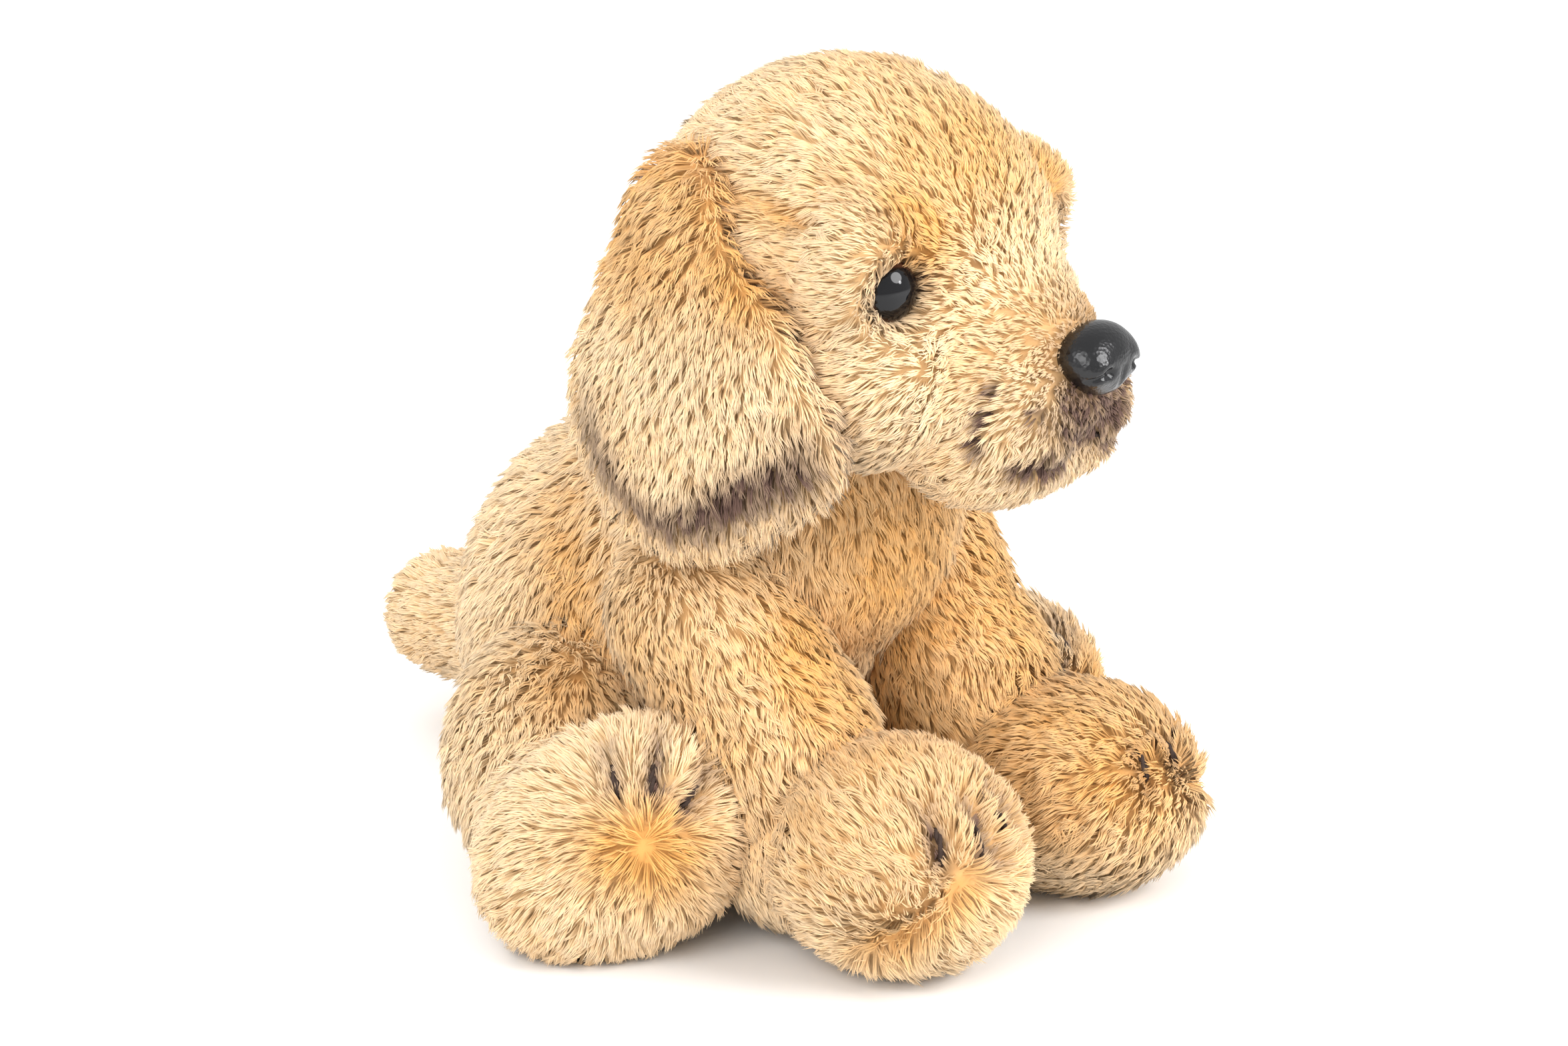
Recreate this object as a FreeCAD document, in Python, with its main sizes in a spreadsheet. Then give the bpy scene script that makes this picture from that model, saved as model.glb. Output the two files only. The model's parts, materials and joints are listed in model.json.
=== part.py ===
# Sitting plush puppy, sewn from pile fabric over stuffing, with safety eyes and a safety nose.
# Units are millimetres. The puppy sits on z = 0 and faces -Y, so its own left side is +X.
# The origin is the middle of the flat patch under its rump that it sits on.
# Every outer radius is measured to the tips of the pile.
import FreeCAD, Part
import math
import os

App = FreeCAD

DIMENSIONS = {
    # fabric, stuffing and clearances
    "pile": 5.0,                # thickness of a fabric panel, backing and pile together
    "packing_gap": 0.2,         # between a panel and the stuffing behind it
    "joint_gap": 0.6,           # between two bodies that turn against each other
    "thread_radius": 0.8,
    "wedge_size": 400.0,        # larger than the whole puppy, for cutting solids
    # torso
    "rump_radius": 45.5,
    "rump_height": 43.0,
    "chest_radius": 32.0,
    "chest_front": 36.7,
    "chest_height": 78.0,
    "belly_width": 34.0,
    "belly_back": 24.0,         # the belly panel stops this far in front of the rump's middle, above the seat
    "belly_top": 91.0,
    "seat_rise": 16.0,          # and runs under the seat to the tail below this height
    "pouch_radius": 15.0,
    "pouch_back": 4.0,
    "pouch_rise": 22.0,
    "root_margin": 4.0,         # extra room that the torso's stuffing leaves round the root of each limb
    # head, measured from the middle of the skull
    "skull_front": 54.7,
    "skull_height": 130.4,
    "head_yaw": 13.0,
    "skull_side": 38.0,
    "skull_long": 43.0,
    "skull_tall": 41.4,
    "muzzle_round": 22.0,
    "muzzle_tall": 21.5,
    "muzzle_ahead": 35.0,
    "muzzle_drop": 21.0,
    "bridge_side": 16.0,
    "bridge_long": 22.0,
    "bridge_tall": 15.0,
    "bridge_ahead": 31.0,
    "bridge_drop": 11.0,
    "gusset_width": 26.0,
    "gusset_drop": 16.0,
    # eyes and nose
    "eye_radius": 6.0,
    "eye_dome": 4.2,
    "eye_ahead": 26.0,
    "eye_side": 25.5,
    "eye_rise": 5.5,
    "eye_turn": 20.0,
    "shank_radius": 1.8,
    "shank_reach": 9.0,
    "shank_play": 0.05,         # between a shank and the hole in its washer
    "nose_shank_reach": 12.0,
    "mouth_of_room": 20.0,      # how far the clearance in front of a fitting runs
    "washer_radius": 6.5,
    "washer_thick": 1.6,
    "washer_depth": 4.2,
    "nose_side": 8.2,
    "nose_long": 6.5,
    "nose_tall": 7.0,
    "nose_ahead": 52.0,
    "nose_drop": 9.4,
    "nose_washer_depth": 9.0,
    "mouth_ring": 20.0,
    "mouth_drop": 31.5,
    "mouth_half_angle": 42.0,
    # neck roll, under the skull
    "neck_radius": 7.0,
    "neck_ball": 12.0,
    "neck_foot": 79.0,
    "nod_room": 15.0,
    # ears
    "ear_curve": 80.0,
    "ear_thick": 6.5,
    "ear_layer_gap": 0.1,
    "ear_standoff": 46.0,
    "ear_back": 5.0,
    "ear_drop": 25.0,
    "lobe_radius": 31.0,
    "lobe_back": 9.0,
    "lobe_drop": 19.0,
    "ear_lean": 28.7,
    "taper_start": 19.2,
    "taper_start_half": 24.3,
    "taper_end": 41.0,
    "taper_end_half": 7.2,
    # front legs, from the shoulder pivot
    "shoulder_radius": 19.0,
    "shoulder_side": 27.5,
    "shoulder_front": 40.7,
    "shoulder_skew": 2.5,
    "shoulder_height": 62.0,
    "front_leg_yaw": 11.0,
    "elbow_radius": 15.5,
    "elbow_in": 3.0,
    "elbow_ahead": 14.0,
    "elbow_drop": 22.0,
    "front_paw_radius": 24.0,
    "front_paw_ahead": 44.0,
    "front_sole_rise": 13.2,    # the sole panel reaches this high
    "front_sole_back": 18.0,    # and this far behind the middle of the paw
    "front_toe_tilt": 50.0,
    "front_toe_spread": 26.0,
    # hind legs, from the hip pivot
    "hip_radius": 23.0,
    "hip_side": 39.5,
    "hip_front": 10.0,
    "hip_height": 32.0,
    "hind_leg_yaw": 36.0,
    "hind_foot_side": 22.5,
    "hind_foot_long": 19.5,
    "hind_foot_tall": 23.0,
    "hind_foot_ahead": 33.0,
    "hind_toe_tilt": 30.0,
    "hind_toe_spread": 30.0,
    "stitch_length": 6.4,
    "stitch_gap": 0.1,          # between a toe stitch and the tips of the pile
    # tail, from its root pivot
    "tail_root_radius": 16.0,
    "tail_tip_radius": 13.5,
    "tail_root_back": 38.3,
    "tail_root_height": 28.0,
    "tail_reach": 42.0,
    "tail_drop": 5.0,
}

CONE_WAIST = 0.97               # a limb's cone is this much of the radius of the ball it meets
FRONT_LEG_LIFTS = (0, 10, 20, 30)   # degrees at which a moving part's clearance is taken out of the torso
HIND_LEG_SPLAYS = (0, 10, 20)
TAIL_WAGS = (-20, -10, 0, 10, 20)

doc = App.newDocument("plush_puppy")
sheet = doc.addObject("Spreadsheet::Sheet", "dims")
for row, (alias, number) in enumerate(DIMENSIONS.items(), start=1):
    sheet.set("A%d" % row, alias)
    sheet.set("B%d" % row, str(number))
    sheet.setAlias("B%d" % row, alias)
doc.recompute()


def size(alias):
    return float(sheet.get(alias))


def bind(item, **expressions):
    for name, expression in expressions.items():
        item.setExpression(name, expression)


def put(item, x=0.0, y=0.0, z=0.0, rotation=None):
    item.Placement = App.Placement(App.Vector(x, y, z), rotation or App.Rotation())
    return item


def ball(name, radius, at=(0, 0, 0)):
    item = doc.addObject("Part::Sphere", name)
    bind(item, Radius=radius)
    return put(item, *at)


def oval(name, side, front, tall, at=(0, 0, 0), rotation=None):
    item = doc.addObject("Part::Ellipsoid", name)
    item.Angle1 = -90
    item.Angle2 = 90
    bind(item, Radius1=tall, Radius2=side, Radius3=front)
    return put(item, *at, rotation=rotation)


def taper(name, radius_a, radius_b, start, end):
    """A cone from start to end whose radii follow the balls that it joins."""
    run = App.Vector(*end) - App.Vector(*start)
    item = doc.addObject("Part::Cone", name)
    bind(item, Radius1="%g * (%s)" % (CONE_WAIST, radius_a), Radius2="%g * (%s)" % (CONE_WAIST, radius_b))
    item.Height = run.Length
    return put(item, *start, rotation=App.Rotation(App.Vector(0, 0, 1), run))


def fuse(name, *items):
    item = doc.addObject("Part::MultiFuse", name)
    item.Shapes = list(items)
    return item


def cut(name, base, *tools):
    item = doc.addObject("Part::Cut", name)
    item.Base = base
    item.Tool = tools[0] if len(tools) == 1 else fuse(name + "_tools", *tools)
    return item


def common(name, base, tool):
    item = doc.addObject("Part::Common", name)
    item.Base = base
    item.Tool = tool
    return item


def slab(name, low, high):
    """A cutting block between two corners. None means out past the whole puppy."""
    reach = size("wedge_size") / 2
    low = [-reach if value is None else value for value in low]
    high = [reach if value is None else value for value in high]
    item = doc.addObject("Part::Box", name)
    item.Length, item.Width, item.Height = (b - a for a, b in zip(low, high))
    return put(item, *low)


def copy_of(name, source, placement):
    item = doc.addObject("Part::Feature", name)
    doc.recompute()
    item.Shape = source.Shape
    item.Placement = placement
    return item


finished = []


def finish(node, item, placement=None):
    """Name a sub-part and set it in its place on the puppy."""
    item.Label = node
    if placement is not None:
        item.Placement = placement.multiply(item.Placement)
    finished.append(item)
    return item


# ---------------------------------------------------------------- places

def head_place():
    turn = App.Rotation(App.Vector(0, 0, 1), size("head_yaw"))
    return App.Placement(App.Vector(0, -size("skull_front"), size("skull_height")), turn)


def shoulder_place(side):
    turn = App.Rotation(App.Vector(0, 0, 1), size("front_leg_yaw"))
    at = App.Vector(side * size("shoulder_side"), -size("shoulder_front") + side * size("shoulder_skew"),
                    size("shoulder_height"))
    return App.Placement(at, turn)


def hip_place(side):
    turn = App.Rotation(App.Vector(0, 0, 1), side * size("hind_leg_yaw"))
    return App.Placement(App.Vector(side * size("hip_side"), -size("hip_front"), size("hip_height")), turn)


def tail_place():
    return App.Placement(App.Vector(0, size("tail_root_back"), size("tail_root_height")), App.Rotation())


# ---------------------------------------------------------------- limbs, each in its pivot's own frame

def grown(radius, grow):
    """Expression for a radius made larger or smaller by another expression."""
    return "dims.%s + (%s)" % (radius, grow)


def front_leg_solid(name, side, grow, with_paw=True):
    elbow = (-side * size("elbow_in"), -size("elbow_ahead"), -size("elbow_drop"))
    paw = (0, -size("front_paw_ahead"), size("front_paw_radius") - size("shoulder_height"))
    shoulder_r = grown("shoulder_radius", grow)
    elbow_r = grown("elbow_radius", grow)
    paw_r = grown("front_paw_radius", grow)
    parts = [ball(name + "_shoulder", shoulder_r),
             taper(name + "_upper", shoulder_r, elbow_r, (0, 0, 0), elbow),
             ball(name + "_elbow", elbow_r, elbow)]
    if with_paw:
        parts += [taper(name + "_lower", elbow_r, elbow_r, elbow, paw),
                  ball(name + "_paw", paw_r, paw)]
    return fuse(name, *parts)


def hind_leg_solid(name, grow):
    foot = (0, -size("hind_foot_ahead"), size("hind_foot_tall") - size("hip_height"))
    hip_r = grown("hip_radius", grow)
    foot_r = grown("hind_foot_long", grow)
    foot_side = grown("hind_foot_side", grow)
    foot_tall = grown("hind_foot_tall", grow)
    return fuse(name,
                ball(name + "_hip", hip_r),
                taper(name + "_shin", hip_r, foot_r, (0, 0, 0), foot),
                oval(name + "_foot", foot_side, foot_r, foot_tall, foot))


def tail_solid(name, grow):
    tip = (0, size("tail_reach"), -size("tail_drop"))
    root_r = grown("tail_root_radius", grow)
    tip_r = grown("tail_tip_radius", grow)
    return fuse(name,
                ball(name + "_root", root_r),
                taper(name + "_run", root_r, tip_r, (0, 0, 0), tip),
                ball(name + "_tip", tip_r, tip))


def head_solid(name, grow):
    return fuse(name,
                oval(name + "_skull", grown("skull_side", grow), grown("skull_long", grow),
                     grown("skull_tall", grow)),
                oval(name + "_muzzle", grown("muzzle_round", grow), grown("muzzle_round", grow),
                     grown("muzzle_tall", grow), (0, -size("muzzle_ahead"), -size("muzzle_drop"))),
                oval(name + "_bridge", grown("bridge_side", grow), grown("bridge_long", grow),
                     grown("bridge_tall", grow), (0, -size("bridge_ahead"), -size("bridge_drop"))))


def torso_solid(name, grow):
    rump = (0, 0, size("rump_height"))
    chest = (0, -size("chest_front"), size("chest_height"))
    rump_r = grown("rump_radius", grow)
    chest_r = grown("chest_radius", grow)
    return fuse(name,
                ball(name + "_rump", rump_r, rump),
                taper(name + "_back", rump_r, chest_r, rump, chest),
                ball(name + "_chest", chest_r, chest))


PILE = "-dims.pile"
CORE = "-dims.pile - dims.packing_gap"
CLEAR = "dims.joint_gap"


def turned(name, source, place, axis, angles):
    """Copies of a clearance solid at several joint angles, fused into the space that it sweeps."""
    copies = []
    for step, angle in enumerate(angles):
        swing = App.Placement(App.Vector(), App.Rotation(App.Vector(*axis), angle))
        copies.append(copy_of("%s_%d" % (name, step), source, place * swing))
    return fuse(name, *copies)


# ---------------------------------------------------------------- torso

def sockets():
    """Everything that turns against the torso, with its clearance."""
    hind = hind_leg_solid("hind_clearance", CLEAR)
    tail = tail_solid("tail_clearance", CLEAR)
    tools = [ball("head_socket", grown("skull_long", CLEAR), (0, -size("skull_front"), size("skull_height")))]
    for side, word in ((-1, "right"), (1, "left")):
        leg = front_leg_solid("front_clearance_" + word, side, CLEAR, with_paw=False)
        tools.append(turned("front_socket_" + word, leg, shoulder_place(side), (-1, 0, 0), FRONT_LEG_LIFTS))
        tools.append(turned("hind_socket_" + word, hind, hip_place(side), (0, 0, side), HIND_LEG_SPLAYS))
    tools.append(turned("tail_socket", tail, tail_place(), (0, 0, 1), TAIL_WAGS))
    return tools


def limb_roots():
    """Balls that stand well clear of the root of every limb, for the torso's stuffing."""
    margin = "dims.joint_gap + dims.root_margin"
    balls = [ball("head_root", grown("skull_long", CLEAR), (0, -size("skull_front"), size("skull_height"))),
             ball("tail_root", grown("tail_root_radius", margin), tuple(tail_place().Base))]
    for side, word in ((-1, "right"), (1, "left")):
        elbow = App.Vector(-side * size("elbow_in"), -size("elbow_ahead"), -size("elbow_drop"))
        shoulder = shoulder_place(side)
        elbow_at = tuple(shoulder.multVec(elbow))
        balls.append(ball("shoulder_root_" + word, grown("shoulder_radius", margin), tuple(shoulder.Base)))
        balls.append(ball("elbow_root_" + word, grown("elbow_radius", margin), elbow_at))
        balls.append(ball("hip_root_" + word, grown("hip_radius", margin), tuple(hip_place(side).Base)))
    return balls


def neck_well():
    item = doc.addObject("Part::Cylinder", "neck_well")
    bind(item, Radius=grown("neck_radius", CLEAR), Height="dims.skull_height - dims.neck_foot")
    return put(item, 0, -size("skull_front"), size("neck_foot") - size("joint_gap"))


def build_torso():
    outer = torso_solid("torso_outer", "0")
    inner = torso_solid("torso_inner", PILE)
    core = torso_solid("torso_core", CORE)
    well = neck_well()
    ground = slab("torso_ground", (None, None, None), (None, None, 0))
    raised = slab("core_ground", (None, None, None), (None, None, size("pile") + size("packing_gap")))
    fabric_ground = slab("fabric_ground", (None, None, None), (None, None, size("pile")))
    hollow = cut("torso_hollow", inner, fabric_ground)
    shell = cut("torso_shell", outer, hollow, ground, well, *sockets())
    half = size("belly_width") / 2
    front = slab("belly_front_block", (-half, None, None), (half, -size("belly_back"), size("belly_top")))
    seat = slab("belly_seat_block", (-half, None, None), (half, None, size("seat_rise")))
    belly = fuse("belly_block", front, seat)
    left = slab("left_block", (0, None, None), (None, None, None))
    right = slab("right_block", (None, None, None), (0, None, None))
    sides = cut("torso_sides", shell, belly)
    finish("belly_panel", common("belly_cut", shell, belly))
    finish("back_panel_left", common("back_left_cut", sides, left))
    finish("back_panel_right", common("back_right_cut", sides, right))
    pouch_at = (0, size("pouch_back"), size("pouch_rise"))
    pouch = ball("pouch_ball", "dims.pouch_radius", pouch_at)
    room = ball("pouch_room", grown("pouch_radius", "dims.packing_gap"), pouch_at)
    finish("bean_pouch", pouch)
    finish("body_stuffing", cut("body_stuffing_cut", core, raised, room, well, *limb_roots()))


# ---------------------------------------------------------------- neck

def build_neck():
    reach = size("skull_height") - size("neck_foot")
    post = doc.addObject("Part::Cylinder", "neck_post")
    bind(post, Radius="dims.neck_radius", Height="dims.skull_height - dims.neck_foot")
    put(post, 0, 0, -reach)
    roll = fuse("neck_roll_solid", post, ball("neck_knob", "dims.neck_ball"))
    finish("neck_roll", roll, head_place())


def neck_room():
    """The space inside the head in which the neck roll rocks as the head nods."""
    reach = size("skull_tall") + 2 * size("pile")
    flare = size("neck_radius") + size("joint_gap") + reach * math.tan(math.radians(size("nod_room")))
    mouth = doc.addObject("Part::Cone", "neck_mouth")
    mouth.Radius1 = flare
    mouth.Radius2 = size("neck_radius") + size("joint_gap")
    mouth.Height = reach
    put(mouth, 0, 0, -reach)
    return fuse("neck_room", mouth, ball("neck_knob_room", grown("neck_ball", CLEAR)))


# ---------------------------------------------------------------- eyes and nose

def eye_place(side):
    look = App.Rotation(App.Vector(0, 0, 1), side * size("eye_turn"))
    face = App.Rotation(App.Vector(1, 0, 0), 90)
    at = App.Vector(side * size("eye_side"), -size("eye_ahead"), size("eye_rise"))
    return App.Placement(at, look * face)


def nose_place():
    face = App.Rotation(App.Vector(1, 0, 0), 90)
    return App.Placement(App.Vector(0, -size("nose_ahead"), -size("nose_drop")), face)


def shank(name, depth):
    item = doc.addObject("Part::Cylinder", name)
    bind(item, Radius="dims.shank_radius", Height="dims." + depth)
    return put(item, 0, 0, -size(depth))


def washer_disc(name, radius, thick, depth):
    item = doc.addObject("Part::Cylinder", name)
    bind(item, Radius=radius, Height=thick)
    return put(item, 0, 0, -depth)


def dome(name, side, front, tall):
    """The front half of an oval that bulges along +Z, so that its flat back lies on z = 0."""
    whole = oval(name + "_whole", side, tall, front)
    back = slab(name + "_back", (None, None, None), (None, None, 0))
    return cut(name, whole, back)


def fitting_room(name, side, tall, washer_depth):
    """Clearance in the panel and the stuffing for one fitting and its washer."""
    margin = size("packing_gap")
    mouth = doc.addObject("Part::Cylinder", name + "_mouth")
    mouth.Radius = max(side, tall) + margin
    mouth.Height = size("mouth_of_room")
    stem = doc.addObject("Part::Cylinder", name + "_stem")
    stem.Radius = size("shank_radius") + margin
    stem.Height = washer_depth + size("shank_reach")
    put(stem, 0, 0, -stem.Height.Value + margin)
    disc = doc.addObject("Part::Cylinder", name + "_disc")
    disc.Radius = size("washer_radius") + margin
    disc.Height = size("washer_thick") + 2 * margin
    put(disc, 0, 0, -washer_depth - margin)
    return fuse(name, mouth, stem, disc)


def build_washer(node, depth, place):
    disc = washer_disc(node + "_disc", "dims.washer_radius", "dims.washer_thick", depth)
    hole = washer_disc(node + "_hole", "dims.shank_radius + dims.shank_play", "2 * dims.washer_thick",
                       depth + size("washer_thick") / 2)
    finish(node, cut(node + "_cut", disc, hole), place)


def build_eye(word, side):
    place = head_place() * eye_place(side)
    lens = dome("eye_dome_" + word, "dims.eye_radius", "dims.eye_dome", "dims.eye_radius")
    stem = shank("eye_shank_" + word, "shank_reach")
    finish("eye_" + word, fuse("eye_solid_" + word, lens, stem), place)
    build_washer("eye_washer_" + word, size("washer_depth"), place)


def build_nose():
    place = head_place() * nose_place()
    button = dome("nose_dome", "dims.nose_side", "dims.nose_long", "dims.nose_tall")
    stem = shank("nose_shank", "nose_shank_reach")
    finish("nose", fuse("nose_solid", button, stem), place)
    build_washer("nose_washer", size("nose_washer_depth"), place)


def mouth_thread(name, radius):
    """An arc of thread round the front of the muzzle."""
    ring = doc.addObject("Part::Torus", name)
    bind(ring, Radius1="dims.mouth_ring", Radius2=radius, Angle3="2 * dims.mouth_half_angle")
    turn = App.Rotation(App.Vector(0, 0, 1), -90 - size("mouth_half_angle"))
    return put(ring, 0, -size("muzzle_ahead"), -size("mouth_drop"), rotation=turn)


# ---------------------------------------------------------------- head

def build_head():
    place = head_place()
    rooms = [neck_room(), mouth_thread("mouth_room", "dims.thread_radius + dims.packing_gap")]
    for side, word in ((-1, "right"), (1, "left")):
        room = fitting_room("eye_room_" + word, size("eye_radius"), size("eye_radius"), size("washer_depth"))
        rooms.append(copy_of("eye_room_placed_" + word, room, eye_place(side)))
    nose_room = fitting_room("nose_room", size("nose_side"), size("nose_tall"), size("nose_washer_depth"))
    rooms.append(copy_of("nose_room_placed", nose_room, nose_place()))
    shell = cut("head_shell", head_solid("head_outer", "0"), head_solid("head_inner", PILE), *rooms)
    half = size("gusset_width") / 2
    level = -size("gusset_drop")
    strip = common("head_strip", shell, slab("strip_block", (-half, None, None), (half, None, None)))
    under = slab("chin_block", (None, None, None), (None, -size("neck_radius"), level))
    left = slab("head_left_block", (half, None, None), (None, None, None))
    right = slab("head_right_block", (None, None, None), (-half, None, None))
    finish("head_centre_gusset", cut("gusset_cut", strip, under), place)
    finish("chin_gusset", common("chin_cut", strip, under), place)
    finish("head_side_left", common("head_left_cut", shell, left), place)
    finish("head_side_right", common("head_right_cut", shell, right), place)
    finish("head_stuffing", cut("head_stuffing_cut", head_solid("head_core", CORE), *rooms), place)
    finish("mouth_thread", mouth_thread("mouth_thread_ring", "dims.thread_radius"), place)


# ---------------------------------------------------------------- ears

def ear_outline(name):
    """A drop-shaped block across the whole head: a round lobe with a neck that leans back and up."""
    across = App.Rotation(App.Vector(0, 1, 0), 90)
    centre_y = size("lobe_back")
    centre_z = -size("lobe_drop")
    reach = size("wedge_size") / 4
    lobe = doc.addObject("Part::Cylinder", name + "_lobe")
    bind(lobe, Radius="dims.lobe_radius", Height="dims.wedge_size / 2")
    put(lobe, -reach, centre_y, centre_z, rotation=across)
    start, end = size("taper_start"), size("taper_end")
    wide, narrow = size("taper_start_half"), size("taper_end_half")
    corners = [(-wide, start), (wide, start), (narrow, end), (-narrow, end)]
    face = Part.Face(Part.makePolygon([App.Vector(-reach, a, b) for a, b in corners + corners[:1]]))
    neck = doc.addObject("Part::Feature", name + "_neck")
    neck.Shape = face.extrude(App.Vector(2 * reach, 0, 0))
    lean = App.Rotation(App.Vector(1, 0, 0), -size("ear_lean"))
    put(neck, 0, centre_y, centre_z, rotation=lean)
    return fuse(name, lobe, neck)


def ear_layer(name, low, high, head_room):
    """One fabric layer of the right ear, between two radii of the ear's own curve."""
    at = (size("ear_curve") - size("ear_standoff"), size("ear_back"), -size("ear_drop"))
    skin = cut(name + "_skin", ball(name + "_far", high, at), ball(name + "_near", low, at))
    half = slab(name + "_half", (None, None, None), (-size("neck_ball"), None, None))
    drop = common(name + "_drop", common(name + "_part", skin, half), ear_outline(name + "_outline"))
    return cut(name, drop, head_room)


def mirrored(name, source):
    """The same piece on the other side of the head's middle plane."""
    item = doc.addObject("Part::Mirroring", name)
    item.Source = source
    item.Base = App.Vector(0, 0, 0)
    item.Normal = App.Vector(1, 0, 0)
    return item


def build_ears():
    place = head_place()
    room = head_solid("ear_clearance", CLEAR)
    lining = ear_layer("ear_lining_form", "dims.ear_curve - dims.ear_thick / 2",
                       "dims.ear_curve - dims.ear_layer_gap / 2", room)
    plush = ear_layer("ear_outer_form", "dims.ear_curve + dims.ear_layer_gap / 2",
                      "dims.ear_curve + dims.ear_thick / 2", room)
    finish("ear_lining_left", mirrored("ear_lining_mirror", lining), place)
    finish("ear_outer_left", mirrored("ear_outer_mirror", plush), place)
    finish("ear_lining_right", copy_of("ear_lining_placed", lining, App.Placement()), place)
    finish("ear_outer_right", copy_of("ear_outer_placed", plush, App.Placement()), place)


# ---------------------------------------------------------------- legs and tail

def toe_threads(name, centre, radius, tilt, spread):
    """Three short stitches over the toes, laid just on the pile of a round paw."""
    stitches = []
    reach = radius + size("thread_radius") + size("stitch_gap")
    for step in (-1, 0, 1):
        stitch = doc.addObject("Part::Cylinder", "%s_%d" % (name, step + 1))
        bind(stitch, Radius="dims.thread_radius", Height="dims.stitch_length")
        lay = App.Rotation(App.Vector(0, 0, 1), step * spread) * App.Rotation(App.Vector(1, 0, 0), tilt)
        middle = App.Vector(*centre) + lay.multVec(App.Vector(0, 0, reach))
        start = middle - lay.multVec(App.Vector(0, size("stitch_length") / 2, 0))
        along = App.Rotation(App.Vector(0, 0, 1), lay.multVec(App.Vector(0, 1, 0)))
        put(stitch, start.x, start.y, start.z, rotation=along)
        stitches.append(stitch)
    item = doc.addObject("Part::Compound", name)
    item.Links = stitches
    return item


def build_front_leg(word, side):
    place = shoulder_place(side)
    name = "front_leg_" + word
    floor_z = -size("shoulder_height")
    outer = front_leg_solid(name + "_outer_form", side, "0")
    inner = front_leg_solid(name + "_inner_form", side, PILE)
    shell = cut(name + "_shell", outer, inner)
    sole_top = floor_z + size("front_sole_rise")
    paw_back = -size("front_paw_ahead") + size("front_sole_back")
    sole = slab(name + "_sole_block", (None, None, None), (None, paw_back, sole_top))
    upper = cut(name + "_upper_form", shell, sole)
    out = slab(name + "_out_block", (0, None, None), (None, None, None))
    into = slab(name + "_in_block", (None, None, None), (0, None, None))
    if side < 0:
        out, into = into, out
    finish(name + "_outer", common(name + "_out_cut", upper, out), place)
    finish(name + "_inner", common(name + "_in_cut", upper, into), place)
    finish(name + "_sole", common(name + "_sole_cut", shell, sole), place)
    finish(name + "_stuffing", front_leg_solid(name + "_core", side, CORE), place)
    paw = (0, -size("front_paw_ahead"), size("front_paw_radius") + floor_z)
    threads = toe_threads(name + "_threads", paw, size("front_paw_radius"), size("front_toe_tilt"),
                          size("front_toe_spread"))
    finish(name + "_toe_threads", threads, place)


def build_hind_leg(word, side):
    place = hip_place(side)
    name = "hind_leg_" + word
    shell = cut(name + "_shell", hind_leg_solid(name + "_outer_form", "0"),
                hind_leg_solid(name + "_inner_form", PILE))
    sole = slab(name + "_sole_block", (None, None, None), (None, -size("hind_foot_ahead"), None))
    upper = cut(name + "_upper_form", shell, sole)
    out = slab(name + "_out_block", (0, None, None), (None, None, None))
    into = slab(name + "_in_block", (None, None, None), (0, None, None))
    if side < 0:
        out, into = into, out
    finish(name + "_outer", common(name + "_out_cut", upper, out), place)
    finish(name + "_inner", common(name + "_in_cut", upper, into), place)
    finish(name + "_sole", common(name + "_sole_cut", shell, sole), place)
    finish(name + "_stuffing", hind_leg_solid(name + "_core", CORE), place)
    foot = (0, -size("hind_foot_ahead"), size("hind_foot_tall") - size("hip_height"))
    threads = toe_threads(name + "_threads", foot, size("hind_foot_side"), size("hind_toe_tilt"),
                          size("hind_toe_spread"))
    finish(name + "_toe_threads", threads, place)


def build_tail():
    place = tail_place()
    shell = cut("tail_shell", tail_solid("tail_outer_form", "0"), tail_solid("tail_inner_form", PILE))
    top = slab("tail_top_block", (None, None, 0), (None, None, None))
    under = slab("tail_under_block", (None, None, None), (None, None, 0))
    finish("tail_upper", common("tail_top_cut", shell, top), place)
    finish("tail_under", common("tail_under_cut", shell, under), place)
    finish("tail_stuffing", tail_solid("tail_core", CORE), place)


# ---------------------------------------------------------------- build, check and write

build_torso()
build_neck()
build_head()
build_ears()
build_nose()
for sign, hand in ((-1, "right"), (1, "left")):
    build_eye(hand, sign)
    build_front_leg(hand, sign)
    build_hind_leg(hand, sign)
build_tail()
doc.recompute()

for item in doc.Objects:
    bad = [state for state in item.State if state in ("Invalid", "Error")]
    if bad:
        raise RuntimeError("%s did not build: %s" % (item.Name, bad))
for item in finished:
    if item.Shape.isNull() or not item.Shape.isValid() or item.Shape.Volume <= 0:
        raise RuntimeError("%s has no valid shape" % item.Label)

os.makedirs("parts", exist_ok=True)
whole = App.BoundBox()
for item in finished:
    item.Shape.exportStep("parts/%s.step" % item.Label)
    whole.add(item.Shape.BoundBox)
    print("%-32s %9.0f mm3  %d solid(s)" % (item.Label, item.Shape.Volume, len(item.Shape.Solids)))
extent = (whole.XLength, whole.YLength, whole.ZLength, whole.ZMin)
print("overall %.1f x %.1f x %.1f mm, lowest z %.3f" % extent)
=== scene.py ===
# Looks of the sitting plush puppy. Shapes are worked out in millimetres and turned into metres
# when a mesh is made. The puppy faces -Y, so its own left side is +X.
import bmesh
import bpy
import json
import math
import numpy as np
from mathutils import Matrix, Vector
from mathutils.bvhtree import BVHTree
from mathutils.kdtree import KDTree


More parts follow.
